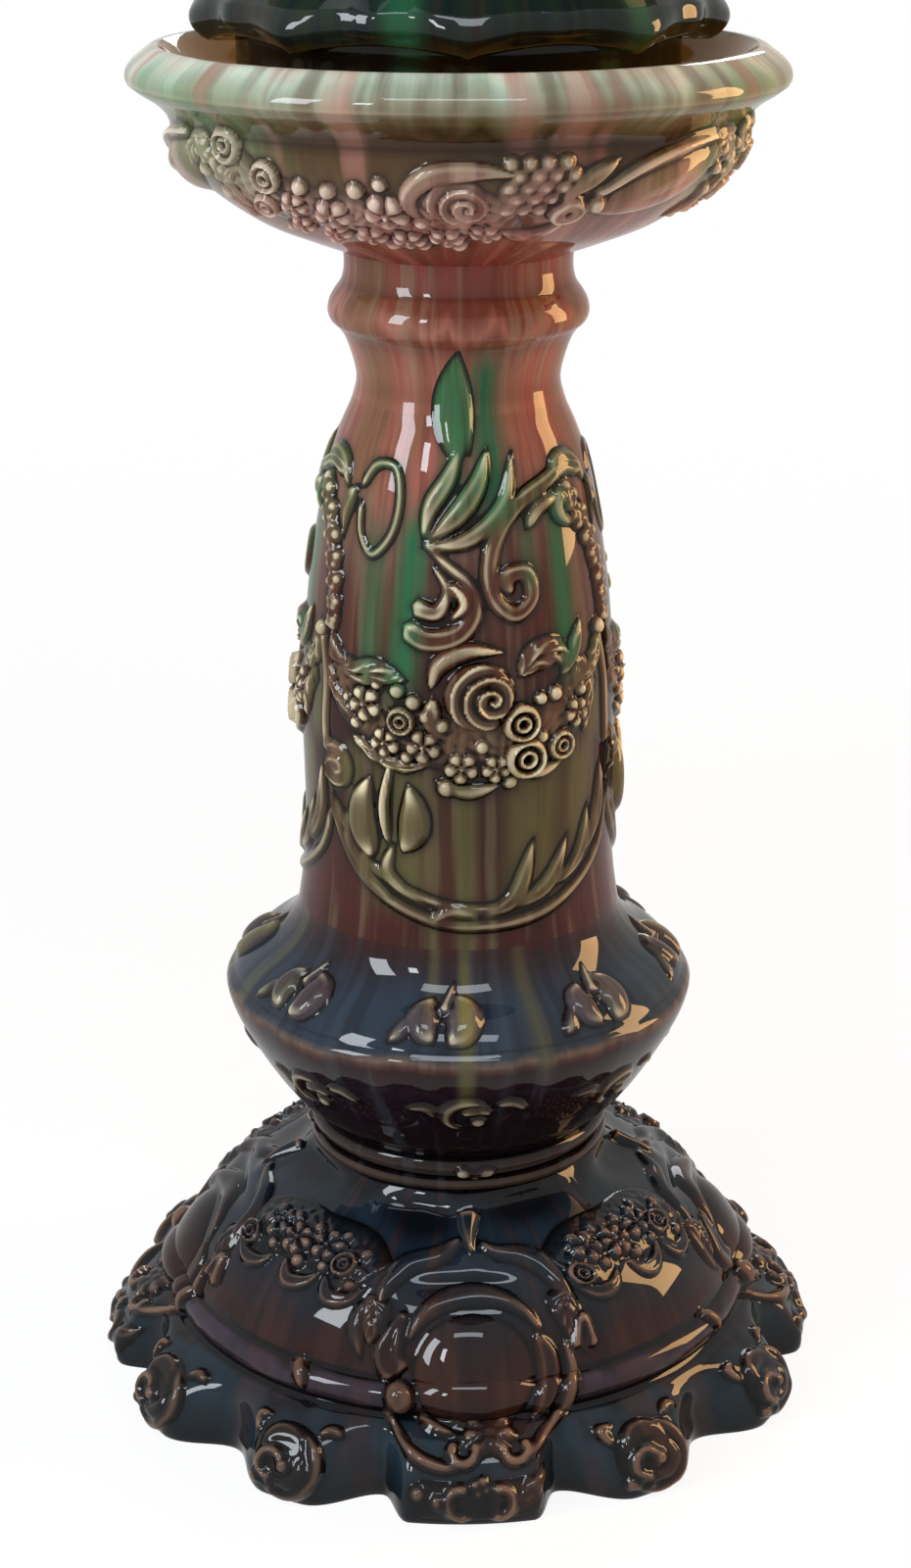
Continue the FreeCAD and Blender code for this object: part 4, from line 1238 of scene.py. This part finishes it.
    def lobe_scroll(self) -> Panel:
        """Scroll pair on a flat lobe."""
        return Panel(self.wall, MEDALLION_AZIMUTH, 13.0, MEDALLIONS, [
            Stroke([(-30, 0), (0, -1), (32, 1)], 14.0, 1.2, BAR, lumps=0.4),
            Stroke(arc(-8, -1, 6.0, 60, 300, 1.0), 5.0, 4.0, BAR),
            Stroke(arc(10, -1, 6.0, 120, -120, 1.0), 5.0, 4.0, BAR),
            Blossom(1, 6, 5.5, 4.0, 4), Dome(-19, -1, 4.6, 3.6), Dome(-28, 2, 4.6, 3.2),
            Stroke([(18, -4), (25, 3), (33, 10)], 9.5, 3.8, LEAF, veins=3),
        ])


class Knop(Section):
    """Ringed knop between the foot and the column."""

    def __init__(self) -> None:
        """Set the sizes and draw the ornament."""
        super().__init__("stand", "stand_knop", "knop_glaze", Surface(KNOP_RUNS), KNOP_HOLLOW, 360, 1.7)
        self.repeats = 4
        self.olive = [
            Drop(2.0, 4.0, 262, 176, 0.8), Drop(21.0, 5.0, 262, 190, 0.45), Drop(-8.0, 4.0, 260, 226, 0.5),
        ]
        self.panels = {"knop_leaves": [self.leaves(), self.lower_curls(), self.ring_knot()]}

    def leaves(self) -> Panel:
        """Pair of swelling leaves on the shoulder."""
        return Panel(self.wall, -6.0, 224.0, 8, [
            Stroke([(-4, -13), (-9, -6), (-9, 4), (-5, 11)], 13.0, 4.8, LEAF, gutter=0.12),
            Stroke([(3, -14), (9, -6), (9, 5), (5, 13)], 15.0, 5.4, LEAF, gutter=0.12),
            Stroke([(0, 2), (2, 11), (4, 19)], 6.5, 3.6, HORN),
            Stroke([(-26, -14), (-20, -8), (-17, 0)], 6.0, 2.0, LEAF),
        ])

    def lower_curls(self) -> Panel:
        """Curls under the crest."""
        return Panel(self.wall, 1.0, 176.0, 8, [
            Stroke(arc(0, 0, 9.5, 40, 260, 3.0), 6.5, 2.6, LEAF),
            Stroke([(-5, 1), (4, 4), (11, 0)], 7.0, 2.4, LEAF),
            Stroke([(12, 7), (20, 8), (28, 1)], 6.0, 1.9, LEAF),
            Stroke([(-15, -3), (-22, 5), (-31, 3)], 6.0, 1.9, LEAF), Dome(4, -6, 4.4, 2.2),
        ])

    def ring_knot(self) -> Panel:
        """Four-lobed knot on the rings."""
        return Panel(self.wall, 4.4, 130.0, 4, [
            Stroke([(-10, 2), (-5, 0), (0, 0)], 7.0, 2.6, LEAF), Bud(0, -3, 3.6, 3.4),
            Stroke([(0, 0), (5, 0), (10, 2)], 7.0, 2.6, LEAF),
        ])


NECK_GREEN = (Drop(14.0, 17.0, 540, 446, 0.95), Drop(-2.0, 13.0, 524, 452, 0.7))
NECK_OLIVE = (
    Drop(-48.0, 24.0, 620, 425, 0.5), Drop(66.0, 18.0, 620, 430, 0.45), Drop(-20.0, 5.0, 560, 470, 0.35),
)
SHAFT = Surface([COLUMN_RUNS[0], NECK_RUNS[0]])


class Column(Section):
    """Swelling column with three panels of relief."""

    def __init__(self) -> None:
        """Set the sizes and draw the ornament."""
        wall = Surface(COLUMN_RUNS)
        super().__init__("stand", "stand_column", "column_glaze", wall, COLUMN_HOLLOW, 300, 1.7)
        self.green = [
            *NECK_GREEN, Drop(-22.0, 12.0, 470, 362, 0.95, 6.0),
            Drop(-34.0, 10.0, 462, 370, 0.6), Drop(43.0, 11.0, 476, 372, 0.8), Drop(28.0, 8.0, 462, 420, 0.5),
        ]
        self.olive = [
            *NECK_OLIVE, Drop(2.7, 8.5, 352, 240, 1.0), Drop(28.5, 25.0, 356, 262, 1.0),
            Drop(-21.0, 25.0, 350, 262, 1.0), Drop(-40.0, 10.0, 352, 296, 0.9),
            Drop(48.0, 14.0, 350, 286, 0.9), Drop(-62.0, 9.0, 404, 338, 0.9),
            Drop(12.0, 2.5, 300, 232, 0.6), Drop(-9.0, 5.0, 290, 222, 0.6), Drop(4.5, 3.0, 300, 222, 0.8),
        ]
        self.panels = {
            "column_frames": [self.frame()],
            "column_garlands": [self.garland()],
            "column_roses": [self.roses()],
            "column_leaves": [self.leaves()],
            "column_chains": [self.chain()],
        }

    def panel(self, height: float) -> Panel:
        """Empty panel on the column."""
        return Panel(self.wall, 6.0, height, 3)

    def frame(self) -> Panel:
        """Lower half of the oval frame, with its leaves, fingers and volutes."""
        panel = self.panel(310.0)
        at = panel.at
        panel.marks = [
            Stroke(at((-53, 320), (-50, 307), (-37, 282), (-13, 265.5), (7.5, 261.5), (34, 266), (60, 287),
                      (68, 312)), 5.0, 2.4, BAR, gutter=0.2),
            Stroke(at((-50, 316), (-44, 303), (-32, 287), (-10, 274), (7.5, 270), (31, 275), (54, 294),
                      (62, 316)), 4.0, 2.0, BAR),
            Stroke(at((-32, 292), (-36, 306), (-36, 320), (-33, 332)), 15.0, 6.4, LEAF),
            Stroke(at((-20, 297), (-16, 309), (-16, 321), (-18, 331)), 13.0, 6.0, LEAF),
            Stroke(at((-26, 300), (-27, 320), (-24, 344)), 5.0, 5.4, LEAF),
            Stroke(at((-33, 298), (-36, 286), (-22, 270)), 6.0, 3.6, LEAF, gutter=0.3),
            Stroke(at((-24, 300), (-26, 286), (-12, 271)), 6.0, 3.6, LEAF, gutter=0.3),
            Stroke(at((-44, 312), (-42, 296), (-30, 279)), 5.0, 3.0, LEAF),
            Stroke(at((8, 266), (20, 274), (28, 302)), 8.0, 4.0, LEAF, gutter=0.35),
            Stroke(at((20, 269), (34, 279), (43, 300)), 8.0, 4.0, LEAF, gutter=0.35),
            Stroke(at((38, 276), (49, 289), (54, 312)), 7.0, 3.8, LEAF, gutter=0.3),
            Stroke(at((50, 286), (60, 306), (62, 332)), 8.0, 4.0, LEAF, gutter=0.3),
            Stroke(at((-10, 263), (-2, 269), (8, 266)), 7.0, 3.4, LEAF),
            *panel.flowers((Rose, -50, 333, 12.5, 6.0, 1.8)),
            Stroke(at((-56, 396), (-62, 374), (-61, 350), (-54, 338)), 5.0, 2.6, BAR, gutter=0.2),
            Stroke(at((61, 396), (65, 374), (65, 352), (66, 338)), 5.0, 2.6, BAR, gutter=0.2),
        ]
        return panel

    def garland(self) -> Panel:
        """Garland hung across the oval."""
        panel = self.panel(370.0)
        panel.crisp = True
        at = panel.at
        spots = [
            (Blossom, -34, 368, 9.5, 6.4), (Blossom, -12, 351, 9.0, 6.4), (Blossom, 1, 341, 8.5, 6.0),
            (Blossom, 13, 340, 7.5, 5.6), (Eye, -20, 362, 7.0, 5.6), (Blossom, -26, 351, 8.0, 5.8),
            (Bud, -16, 371, 4.2, 4.8), (Bud, -22, 376, 4.0, 4.6), (Bud, -11, 365, 4.2, 5.2),
            (Bud, -38, 358, 3.6, 4.2), (Bud, -6, 361, 4.4, 5.4), (Bud, -30, 378, 3.6, 4.2),
            (Bud, 8, 351, 4.2, 5.0), (Bud, -4, 331, 5.0, 4.6), (Bud, 30, 353, 4.0, 4.4),
            (Blossom, 45, 361, 8.0, 5.8), (Bud, 36, 372, 4.2, 4.6), (Bud, 48, 371, 4.2, 4.2),
            (Bud, 55, 381, 4.0, 4.0), (Bud, 18, 333, 4.0, 4.2), (Bud, -55, 397, 5.0, 4.6),
            (Bud, 61, 397, 5.0, 4.6), (Bud, -42, 369, 3.4, 4.0), (Eye, 38, 347, 7.5, 4.8),
            (Bud, -18, 345, 3.6, 4.2), (Bud, 30, 371, 3.4, 4.6),
        ]
        panel.marks = panel.flowers(*spots) + [
            Stroke(at((-50, 386), (-40, 370), (-26, 362), (-8, 354), (8, 350), (26, 352), (42, 364),
                      (54, 384)), 22.0, 1.7, BAR, lumps=0.3),
            Stroke(at((-55, 397), (-50, 388), (-44, 384)), 9.0, 4.4, LEAF, gutter=0.3),
            Stroke(at((-46, 383), (-38, 381), (-29, 383), (-19, 381)), 12.0, 4.6, LEAF, veins=3),
            Stroke(at((-55, 392), (-52, 377), (-45, 366), (-36, 358)), 8.0, 4.0, LEAF, veins=4, teeth=4),
            Stroke(at((-40, 351), (-30, 344), (-18, 340), (-9, 343)), 8.0, 4.0, LEAF, veins=4, teeth=5),
            Stroke(at((-10, 378), (-7, 389), (3, 396), (16, 395)), 8.0, 4.6, LEAF),
            Stroke(at((-9, 374), (-9, 362), (-4, 354)), 8.5, 5.6, LEAF, gutter=0.2),
            Stroke(at((22, 383), (29, 391), (38, 391), (43, 382)), 13.0, 5.0, LEAF, veins=3),
            Stroke(at((40, 380), (46, 392), (50, 404)), 8.0, 4.4, LEAF, gutter=0.3),
            Stroke(at((60, 396), (57, 384), (50, 376), (44, 376)), 9.0, 4.4, LEAF, veins=4, teeth=4),
            Stroke(at((55, 374), (51, 362), (50, 350)), 8.0, 4.0, LEAF, veins=3),
            Stroke(at((-8, 334), (4, 329), (15, 332)), 7.0, 3.8, LEAF),
            Stroke(at((22, 336), (31, 336), (40, 341)), 6.0, 3.6, LEAF),
        ]
        return panel

    def roses(self) -> Panel:
        """Rose on the middle of the garland, with ringed florets beside it."""
        panel = self.panel(372.0)
        panel.crisp = True
        panel.marks = panel.flowers(
            (Rose, 7.6, 374, 16.5, 10.0), (Eye, 21.8, 361, 9.2, 7.4), (Eye, 23.5, 344, 10.2, 7.4))
        return panel

    def leaves(self) -> Panel:
        """Leaf, spray and curls at the top of the panel."""
        panel = Panel(SHAFT, 6.0, 455.0, 3)
        at = panel.at
        panel.marks = [
            Stroke(at((-1, 480), (-3, 500), (-1, 529)), 15.0, 2.2, LEAF),
            Stroke(at((5, 484), (5, 506), (0, 530)), 3.2, 2.4, LEAF),
            Stroke(at((-14, 447), (-11, 461), (-4, 474), (1, 488)), 7.5, 5.0, LEAF, gutter=0.25),
            Stroke(at((-12, 446), (-1, 457), (8, 471), (13, 486)), 9.0, 5.2, LEAF, gutter=0.25),
            Stroke(at((-14, 443), (4, 447), (18, 461), (25, 484)), 7.5, 5.0, LEAF, gutter=0.25),
            Stroke(at((-14, 446), (-7, 438), (3, 427), (6, 415), (0, 404), (-12, 401), (-20, 407)), 9.5, 5.4,
                   TONGUE, gutter=0.4),
            Stroke(at((-9, 434), (-4, 423), (-8, 414), (-17, 416)), 7.5, 5.2, TONGUE, gutter=0.3),
            Stroke(at((-3, 428), (2, 418), (-3, 410)), 6.0, 5.6, LEAF),
            Stroke(at((66, 470), (52, 474), (39, 469), (27, 463), (17, 452), (12, 437), (13, 421), (21, 412),
                      (28, 419), (26, 430), (18, 429), (20, 421)), 6.8, 5.0, BAR, gutter=0.5),
            Stroke(at((28, 450), (34, 459), (46, 462)), 8.0, 4.0, LEAF),
            Stroke(at((-45, 466), (-38, 477), (-29, 477), (-25, 464), (-28, 446), (-36, 437), (-42, 445),
                      (-44, 460)), 3.4, 1.6, BAR),
            Stroke(at((-48, 466), (-54, 452), (-54, 436)), 8.0, 3.6, LEAF, gutter=0.3),
            Stroke(at((-56, 446), (-57, 424), (-54, 404)), 7.0, 3.0, LEAF),
        ]
        return panel

    def chain(self) -> Panel:
        """Chain of small flowers between two panels."""
        panel = Panel(self.wall, 60.0, 435.0, 3)
        chain = [(50, 461, 8.0), (56, 451, 7.5), (61, 441, 7.0), (64, 431, 6.5), (66, 421, 6.0),
                 (67, 411, 5.4), (67, 402, 5.0)]
        panel.marks = [
            *panel.flowers(*((Blossom, azimuth, height, radius, 5.0, 4 + index % 2, index * 0.7)
                             for index, (azimuth, height, radius) in enumerate(chain))),
            Stroke(panel.at((50, 462), (60, 444), (65, 424), (67, 400)), 9.0, 1.6, BAR, lumps=0.3),
            Stroke(panel.at((42, 468), (50, 477), (60, 475), (67, 464)), 8.0, 4.2, LEAF, gutter=0.3),
            Stroke(panel.at((45, 466), (44, 455), (51, 447)), 7.0, 4.0, LEAF),
        ]
        return panel


class Neck(Section):
    """Neck with its collar ring."""

    def __init__(self) -> None:
        """Set the sizes."""
        super().__init__("stand", "stand_neck", "neck_glaze", Surface(NECK_RUNS), NECK_HOLLOW, 260, 1.4)
        self.green = list(NECK_GREEN)
        self.olive = list(NECK_OLIVE)


class Dish(Section):
    """Shallow dish with its rim, in which the pot stands."""

    def __init__(self) -> None:
        """Set the sizes and draw the ornament."""
        super().__init__("stand", "stand_dish", "dish_glaze", Surface(DISH_RUNS), [], 380, 1.8)
        self.green = [
            Drop(-50.0, 26.0, 660, 596, 0.45), Drop(-66.0, 8.0, 670, 590, 0.5),
            Drop(62.0, 14.0, 664, 600, 0.4),
        ]
        self.panels = {"dish_garlands": [self.garland()], "dish_cartouches": [self.cartouche()]}

    def build(self) -> bpy.types.Object:
        """Turn the dish from its outline, which starts and ends on the axis."""
        under, over = outline(DISH_UNDER, 5.0), outline(DISH_RUNS, self.spacing)
        inside = outline(DISH_INSIDE, 3.0)
        return turn_wall(self.node, np.concatenate([under, over[1:], inside[1:]]), self.steps, closed=False)

    def inside_and_sunlight_share(self, places: np.ndarray) -> np.ndarray:
        """The recess and the inner side of the lip, which take a painted pool of warm sunlight."""
        radius = np.hypot(places[:, 0], places[:, 1])
        return np.where(places[:, 2] > 636, eased(-radius, -135.5, -131.5), 0)

    def garland(self) -> Panel:
        """Garland of flowers under the rim."""
        panel = Panel(self.wall, -19.0, 606.0, 3, crisp=True)
        at = panel.at
        spots = [
            (Rose, -0.6, 606, 14.5, 6.0), (Eye, -48.6, 626, 9.5, 4.2), (Eye, -39.5, 614, 8.0, 4.6),
            (Eye, -44.0, 601, 7.5, 4.4), (Blossom, -27, 600, 10.0, 6.0), (Blossom, -14.7, 602, 11.0, 6.4),
            (Bud, -32, 611, 4.4, 4.6), (Bud, -26, 610, 4.2, 4.4), (Bud, -20, 611, 4.4, 4.4),
            (Bud, -15, 614, 3.6, 3.8), (Blossom, -35.5, 603, 8.0, 5.4), (Blossom, -38, 593, 7.5, 4.8),
            (Blossom, -29.5, 591, 8.0, 4.8), (Blossom, -21, 590, 8.0, 5.0), (Blossom, -12, 589, 8.0, 5.2),
            (Blossom, -3, 590, 8.0, 5.0), (Blossom, 6, 592, 7.5, 4.8), (Bud, -33, 586, 4.0, 3.4),
            (Bud, -17, 585, 4.0, 3.4), (Bud, 0, 585, 4.0, 3.4), (Bud, -8, 598, 4.2, 4.4),
            (Bud, -43, 591, 4.0, 3.4), (Bud, -54, 617, 4.0, 3.4), (Bud, -9, 585, 3.6, 3.2),
        ]
        panel.marks = panel.flowers(*spots) + [
            Stroke(at((-52, 616), (-42, 604), (-30, 599), (-14, 597), (2, 598), (11, 603)), 25.0, 1.5,
                   BAR, lumps=0.35),
            Stroke(at((-54, 629), (-61, 622), (-67, 611)), 10.0, 3.6, LEAF, veins=4),
            Stroke(at((-46, 619), (-52, 609), (-51, 597)), 8.0, 3.6, LEAF, veins=4),
            Stroke(at((-8, 598), (-10, 608), (-6, 617), (4, 620), (12, 618)), 8.5, 5.0, LEAF, gutter=0.25),
        ]
        return panel

    def cartouche(self) -> Panel:
        """Shell with a berried leaf and a ringed floret between two garlands."""
        panel = Panel(self.wall, 36.0, 612.0, 3)
        at = panel.at
        berries = [(Bud, x + (row % 2) * 1.7, 623 - row * 5.0, 3.6, 3.6)
                   for row in range(5) for x in (9.5, 13, 16.5, 20)]
        panel.marks = [
            *panel.flowers(*berries, (Eye, 22.5, 602, 8.0, 5.4), (Dome, 28, 605, 5.0, 6.2),
                           (Blossom, 63, 622, 7.5, 4.4), (Blossom, 67, 612, 7.0, 4.2),
                           (Bud, 61, 613, 4.2, 4.0),
                           (Bud, 64, 603, 4.2, 3.4), (Bud, 68, 622, 4.0, 3.6)),
            Stroke(at((9, 600), (14, 611), (19, 624)), 22.0, 1.8, LEAF, lumps=0.3),
            Stroke(at((20, 608), (25, 615), (31, 623)), 9.0, 4.6, LEAF, gutter=0.2),
            Stroke(at((28, 601), (39, 607), (51, 615), (59, 624)), 25.0, 5.4, LEAF),
            Stroke(at((33, 606), (43, 613), (53, 620)), 10.0, 6.4, LEAF),
            Stroke(at((27, 609), (35, 618), (46, 625), (58, 629)), 5.5, 4.4, BAR),
            Stroke(at((24, 595), (16, 590), (9, 593)), 8.0, 3.8, LEAF, veins=3),
            Stroke(at((62, 606), (66, 597), (60, 590)), 7.0, 3.2, LEAF, veins=3),
        ]
        return panel


APRON_ARCHES = 9


def apron_swell(azimuth: np.ndarray, height: np.ndarray) -> np.ndarray:
    """How far the apron's tips and tongues swell out of its round wall, in mm."""
    pitch = 360 / APRON_ARCHES
    aside = (azimuth + pitch / 2) % pitch - pitch / 2
    band = eased(height, 655, 664) * (1 - eased(height, 676, 692))
    tip = 4.5 * np.exp(-((aside / 6.5) ** 2)) * np.exp(-(((height - 670) / 8) ** 2))
    hollow = -2.5 * np.exp(-(((np.abs(aside) - 13) / 5) ** 2)) * eased(height, 662, 670)
    return (tip + hollow) * band


class PotFoot(Section):
    """Foot of the jardiniere, with its scalloped apron."""

    def __init__(self) -> None:
        """Set the sizes."""
        wall = Surface(POT_FOOT_RUNS)
        super().__init__("jardiniere", "jardiniere_foot", "jardiniere_glaze", wall, [], 260, 2.0)
        self.green = [Drop(-12.0, 8.0, 700, 650, 0.3), Drop(40.0, 6.0, 700, 650, 0.25)]

    def build(self) -> bpy.types.Object:
        """Turn the foot from its outline, which starts and ends on the axis."""
        under, over = outline(POT_FOOT_UNDER, 3.0), outline(POT_FOOT_RUNS, self.spacing)
        inside = outline(POT_FOOT_INSIDE, 5.0)
        return turn_wall(self.node, np.concatenate([under, over[1:], inside[1:]]), self.steps, closed=False)

    def shape(self, piece: bpy.types.Object) -> None:
        """Cut the arches into the apron's lower edge."""
        places = coordinates(piece)
        radius = np.hypot(places[:, 0], places[:, 1])
        azimuth, height = azimuth_of(places), places[:, 2]
        wave = np.abs(np.sin(np.radians(azimuth) * APRON_ARCHES / 2)) ** 0.8
        low = eased(-height, -674, -664) * (radius > 99.5) * (height > 656)
        shift = np.where(radius > 101, apron_swell(azimuth, height), 0.0)
        places[:, :2] *= ((radius + shift) / np.maximum(radius, 1.0))[:, None]
        places[:, 2] += 5.5 * wave * low
        put(piece, places)

    def inside_and_sunlight_share(self, places: np.ndarray) -> np.ndarray:
        """The floor of the bowl and the wall just over it."""
        radius = np.hypot(places[:, 0], places[:, 1])
        return ((radius < 96) & (places[:, 2] > 660)).astype(float)


class Pot(Section):
    """Bowl of the jardiniere."""

    def __init__(self) -> None:
        """Set the sizes and draw the ornament."""
        wall = Surface(POT_RUNS)
        super().__init__("jardiniere", "jardiniere_bowl", "jardiniere_glaze", wall, POT_HOLLOW, 340, 2.6)
        self.repeats = 4
        self.grain = 1.15
        self.green = [Drop(24.0, 15.0, 900, 700, 0.8), Drop(-12.0, 9.0, 860, 720, 0.5)]
        self.olive = [Drop(5.0, 30.0, 860, 690, 0.5)]
        self.panels = {"jardiniere_garlands": [self.garland()], "jardiniere_bosses": [self.boss()]}

    def inside_and_sunlight_share(self, places: np.ndarray) -> np.ndarray:
        """The inside of the bowl."""
        radius = np.hypot(places[:, 0], places[:, 1])
        skin = self.wall.radius_at(self.wall.run_at(places[:, 2]))
        return (radius < skin - 4.5).astype(float)

    def garland(self) -> Panel:
        """Garland on the belly."""
        kinds, radii, rises = (Rose, Blossom, Eye), (15, 10, 8, 9.5, 7.5), (7.5, 5.2, 5, 5, 4)
        marks: list[Mark] = []
        for index in range(-4, 5):
            x, y, order = index * 14.0, index * index * 1.9 - 18, abs(index)
            marks += [
                kinds[order % 3](x, y, radii[order], rises[order]),
                Bud(x + 7, y + 12, 4.0, 4.2), Bud(x - 4, y - 13, 3.8, 3.8),
                Stroke([(x, y - 9), (x + 3, y - 19), (x + 10, y - 26)], 8.0, 3.2, LEAF, veins=4),
                Stroke([(x, y + 9), (x - 4, y + 18), (x - 11, y + 23)], 8.0, 3.2, LEAF, veins=4),
            ]
        return Panel(self.wall, 0.0, 806.0, 4, marks)

    def boss(self) -> Panel:
        """Rose between two garlands, with leaves under it."""
        return Panel(self.wall, 45.0, 792.0, 4, [
            Rose(0, 0, 20.0, 8.0), Stroke(arc(0, 0, 25.0, 200, 340), 5.0, 3.4, BAR, gutter=0.3),
            *(Stroke([(8 * side, -28), (14 * side, -42), (6 * side, -58)], 12.0, 3.8, LEAF, veins=5)
              for side in (-1, 1)),
            Stroke([(0, -30), (0, -66)], 9.0, 4.0, LEAF, gutter=0.3),
            *(Stroke([(6 * side, 24), (12 * side, 36), (24 * side, 42)], 8.0, 3.4, LEAF, gutter=0.3)
              for side in (-1, 1)),
        ])


# ------------------------------------------------------------------ studio
@dataclass(frozen=True)
class Window:
    """Soft window-shaped lamp that faces the stand.

    Attributes:
        name: Name of the lamp.
        azimuth: Where it stands round the stand, in degrees.
        distance: How far it stands from the axis, in metres.
        height: Height of its middle, in metres.
        size: Width and height, in metres.
        power: Power, in watts.
        colour: Colour of its light.
    """

    name: str
    azimuth: float
    distance: float
    height: float
    size: tuple[float, float]
    power: float
    colour: tuple[float, float, float]

    def hang(self, aim: Vector) -> None:
        """Put the lamp in the studio, facing a point."""
        lamp = bpy.data.lights.new(self.name, "AREA")
        lamp.shape = "RECTANGLE"
        lamp.size, lamp.size_y = self.size
        lamp.energy, lamp.color = self.power, self.colour
        holder = bpy.data.objects.new(self.name, lamp)
        angle = math.radians(self.azimuth)
        holder.location = (self.distance * math.sin(angle), -self.distance * math.cos(angle), self.height)
        holder.rotation_euler = (aim - holder.location).to_track_quat("-Z", "Y").to_euler()
        bpy.context.scene.collection.objects.link(holder)


@dataclass(frozen=True)
class Studio:
    """Floor, light and camera."""

    camera_distance: float = 1.3039
    camera_height: float = 0.7798
    camera_tilt: float = 69.99
    camera_aside: float = -0.0014
    focal_pixels: float = 2876.3
    frame_height: float = 1600.0
    sensor: float = 36.0
    floor_size: float = 60.0
    floor_grey: float = 0.82
    floor_glow: float = 0.9
    floor_fade: Pair = (0.4, 2.2)
    lamp_aim: float = 0.4
    air: float = 0.22
    windows: tuple[Window, ...] = (
        Window("left_window", -58.0, 1.5, 1.15, (0.38, 0.8), 25.0, (0.88, 0.94, 1.0)),
        Window("left_pane", -34.0, 1.8, 1.4, (0.2, 0.34), 8.0, (0.92, 0.96, 1.0)),
        Window("roof_window", -4.0, 0.95, 2.0, (1.1, 0.3), 15.0, (0.84, 0.92, 1.0)),
        Window("right_window", 96.0, 1.4, 0.8, (0.42, 0.95), 26.0, (1.0, 0.58, 0.24)),
        Window("back_window", 168.0, 2.2, 1.5, (0.8, 0.8), 18.0, (0.97, 0.98, 1.0)),
    )

    def lay_floor(self) -> None:
        """Pale floor that keeps the shadow and fades to white for the eye."""
        only_none()
        bpy.ops.mesh.primitive_plane_add(size=self.floor_size, location=(0, 0, 0))
        floor = bpy.context.object
        floor.name = "floor"
        material = bpy.data.materials.new("floor_paint")
        material.use_nodes = True
        tree = material.node_tree
        tree.nodes.clear()
        bench = Bench(tree)
        grey = (self.floor_grey,) * 3 + (1.0,)
        paint = bench.add("ShaderNodeBsdfDiffuse", {"Color": grey})
        glow = bench.add("ShaderNodeEmission", {"Color": (1, 1, 1, 1), "Strength": 1.0})
        place = bench.add("ShaderNodeTexCoord").outputs["Object"]
        away = bench.add("ShaderNodeVectorMath", {0: place}, operation="LENGTH").outputs["Value"]
        far = bench.step(away, *self.floor_fade)
        share = bench.math("MULTIPLY_ADD", far, 1 - self.floor_glow, self.floor_glow)
        seen = bench.math("MULTIPLY", self.seen(bench), share)
        mix = bench.add("ShaderNodeMixShader", {0: seen, 1: paint.outputs[0], 2: glow.outputs[0]})
        out = bench.add("ShaderNodeOutputMaterial")
        tree.links.new(mix.outputs[0], out.inputs["Surface"])
        floor.data.materials.append(material)

    def seen(self, bench: Bench) -> bpy.types.NodeSocket:
        """1 for what the eye sees straight, in a gloss or through glass."""
        path = bench.add("ShaderNodeLightPath")
        straight = bench.math("MAXIMUM", path.outputs["Is Camera Ray"], path.outputs["Is Glossy Ray"])
        return bench.math("MAXIMUM", straight, path.outputs["Is Transmission Ray"])

    def fill_air(self) -> None:
        """White surroundings for the eye, and a quiet even light for the object."""
        world = bpy.data.worlds.new("air")
        bpy.context.scene.world = world
        world.use_nodes = True
        tree = world.node_tree
        tree.nodes.clear()
        bench = Bench(tree)
        quiet = bench.add("ShaderNodeBackground", {"Color": (0.94, 0.97, 1.0, 1), "Strength": self.air})
        white = bench.add("ShaderNodeBackground", {"Color": (1, 1, 1, 1), "Strength": 1.0})
        seen = self.seen(bench)
        mix = bench.add("ShaderNodeMixShader", {0: seen, 1: quiet.outputs[0], 2: white.outputs[0]})
        out = bench.add("ShaderNodeOutputWorld")
        tree.links.new(mix.outputs[0], out.inputs["Surface"])

    def set_camera(self) -> None:
        """Camera at the photograph's viewing angle."""
        lens = bpy.data.cameras.new("camera")
        lens.sensor_width = self.sensor
        lens.lens = self.focal_pixels / self.frame_height * self.sensor
        camera = bpy.data.objects.new("camera", lens)
        angle = math.radians(VIEW_TURN)
        right = Vector((math.cos(angle), math.sin(angle), 0))
        back = Vector((math.sin(angle), -math.cos(angle), 0))
        place = back * self.camera_distance + right * self.camera_aside
        camera.location = place + Vector((0, 0, self.camera_height))
        camera.rotation_euler = (math.radians(self.camera_tilt), 0, angle)
        bpy.context.scene.collection.objects.link(camera)
        bpy.context.scene.camera = camera

    def set_up(self) -> None:
        """Build the studio."""
        self.lay_floor()
        self.fill_air()
        for window in self.windows:
            window.hang(Vector((0, 0, self.lamp_aim)))
        self.set_camera()
        bpy.context.scene.view_settings.view_transform = "Standard"


def only_none() -> None:
    """Deselect everything."""
    bpy.ops.object.select_all(action="DESELECT")


def main() -> None:
    """Build the studio, then each section of the stand and the jardiniere."""
    logging.basicConfig(level=logging.INFO, format="%(message)s")
    Studio().set_up()
    kiln = Kiln()
    materials = {glaze.slot: glaze.fire(kiln) for glaze in GLAZES}
    for section in (Foot(), Knop(), Column(), Neck(), Dish(), PotFoot(), Pot()):
        section.make(materials)


if __name__ == "__main__":
    main()
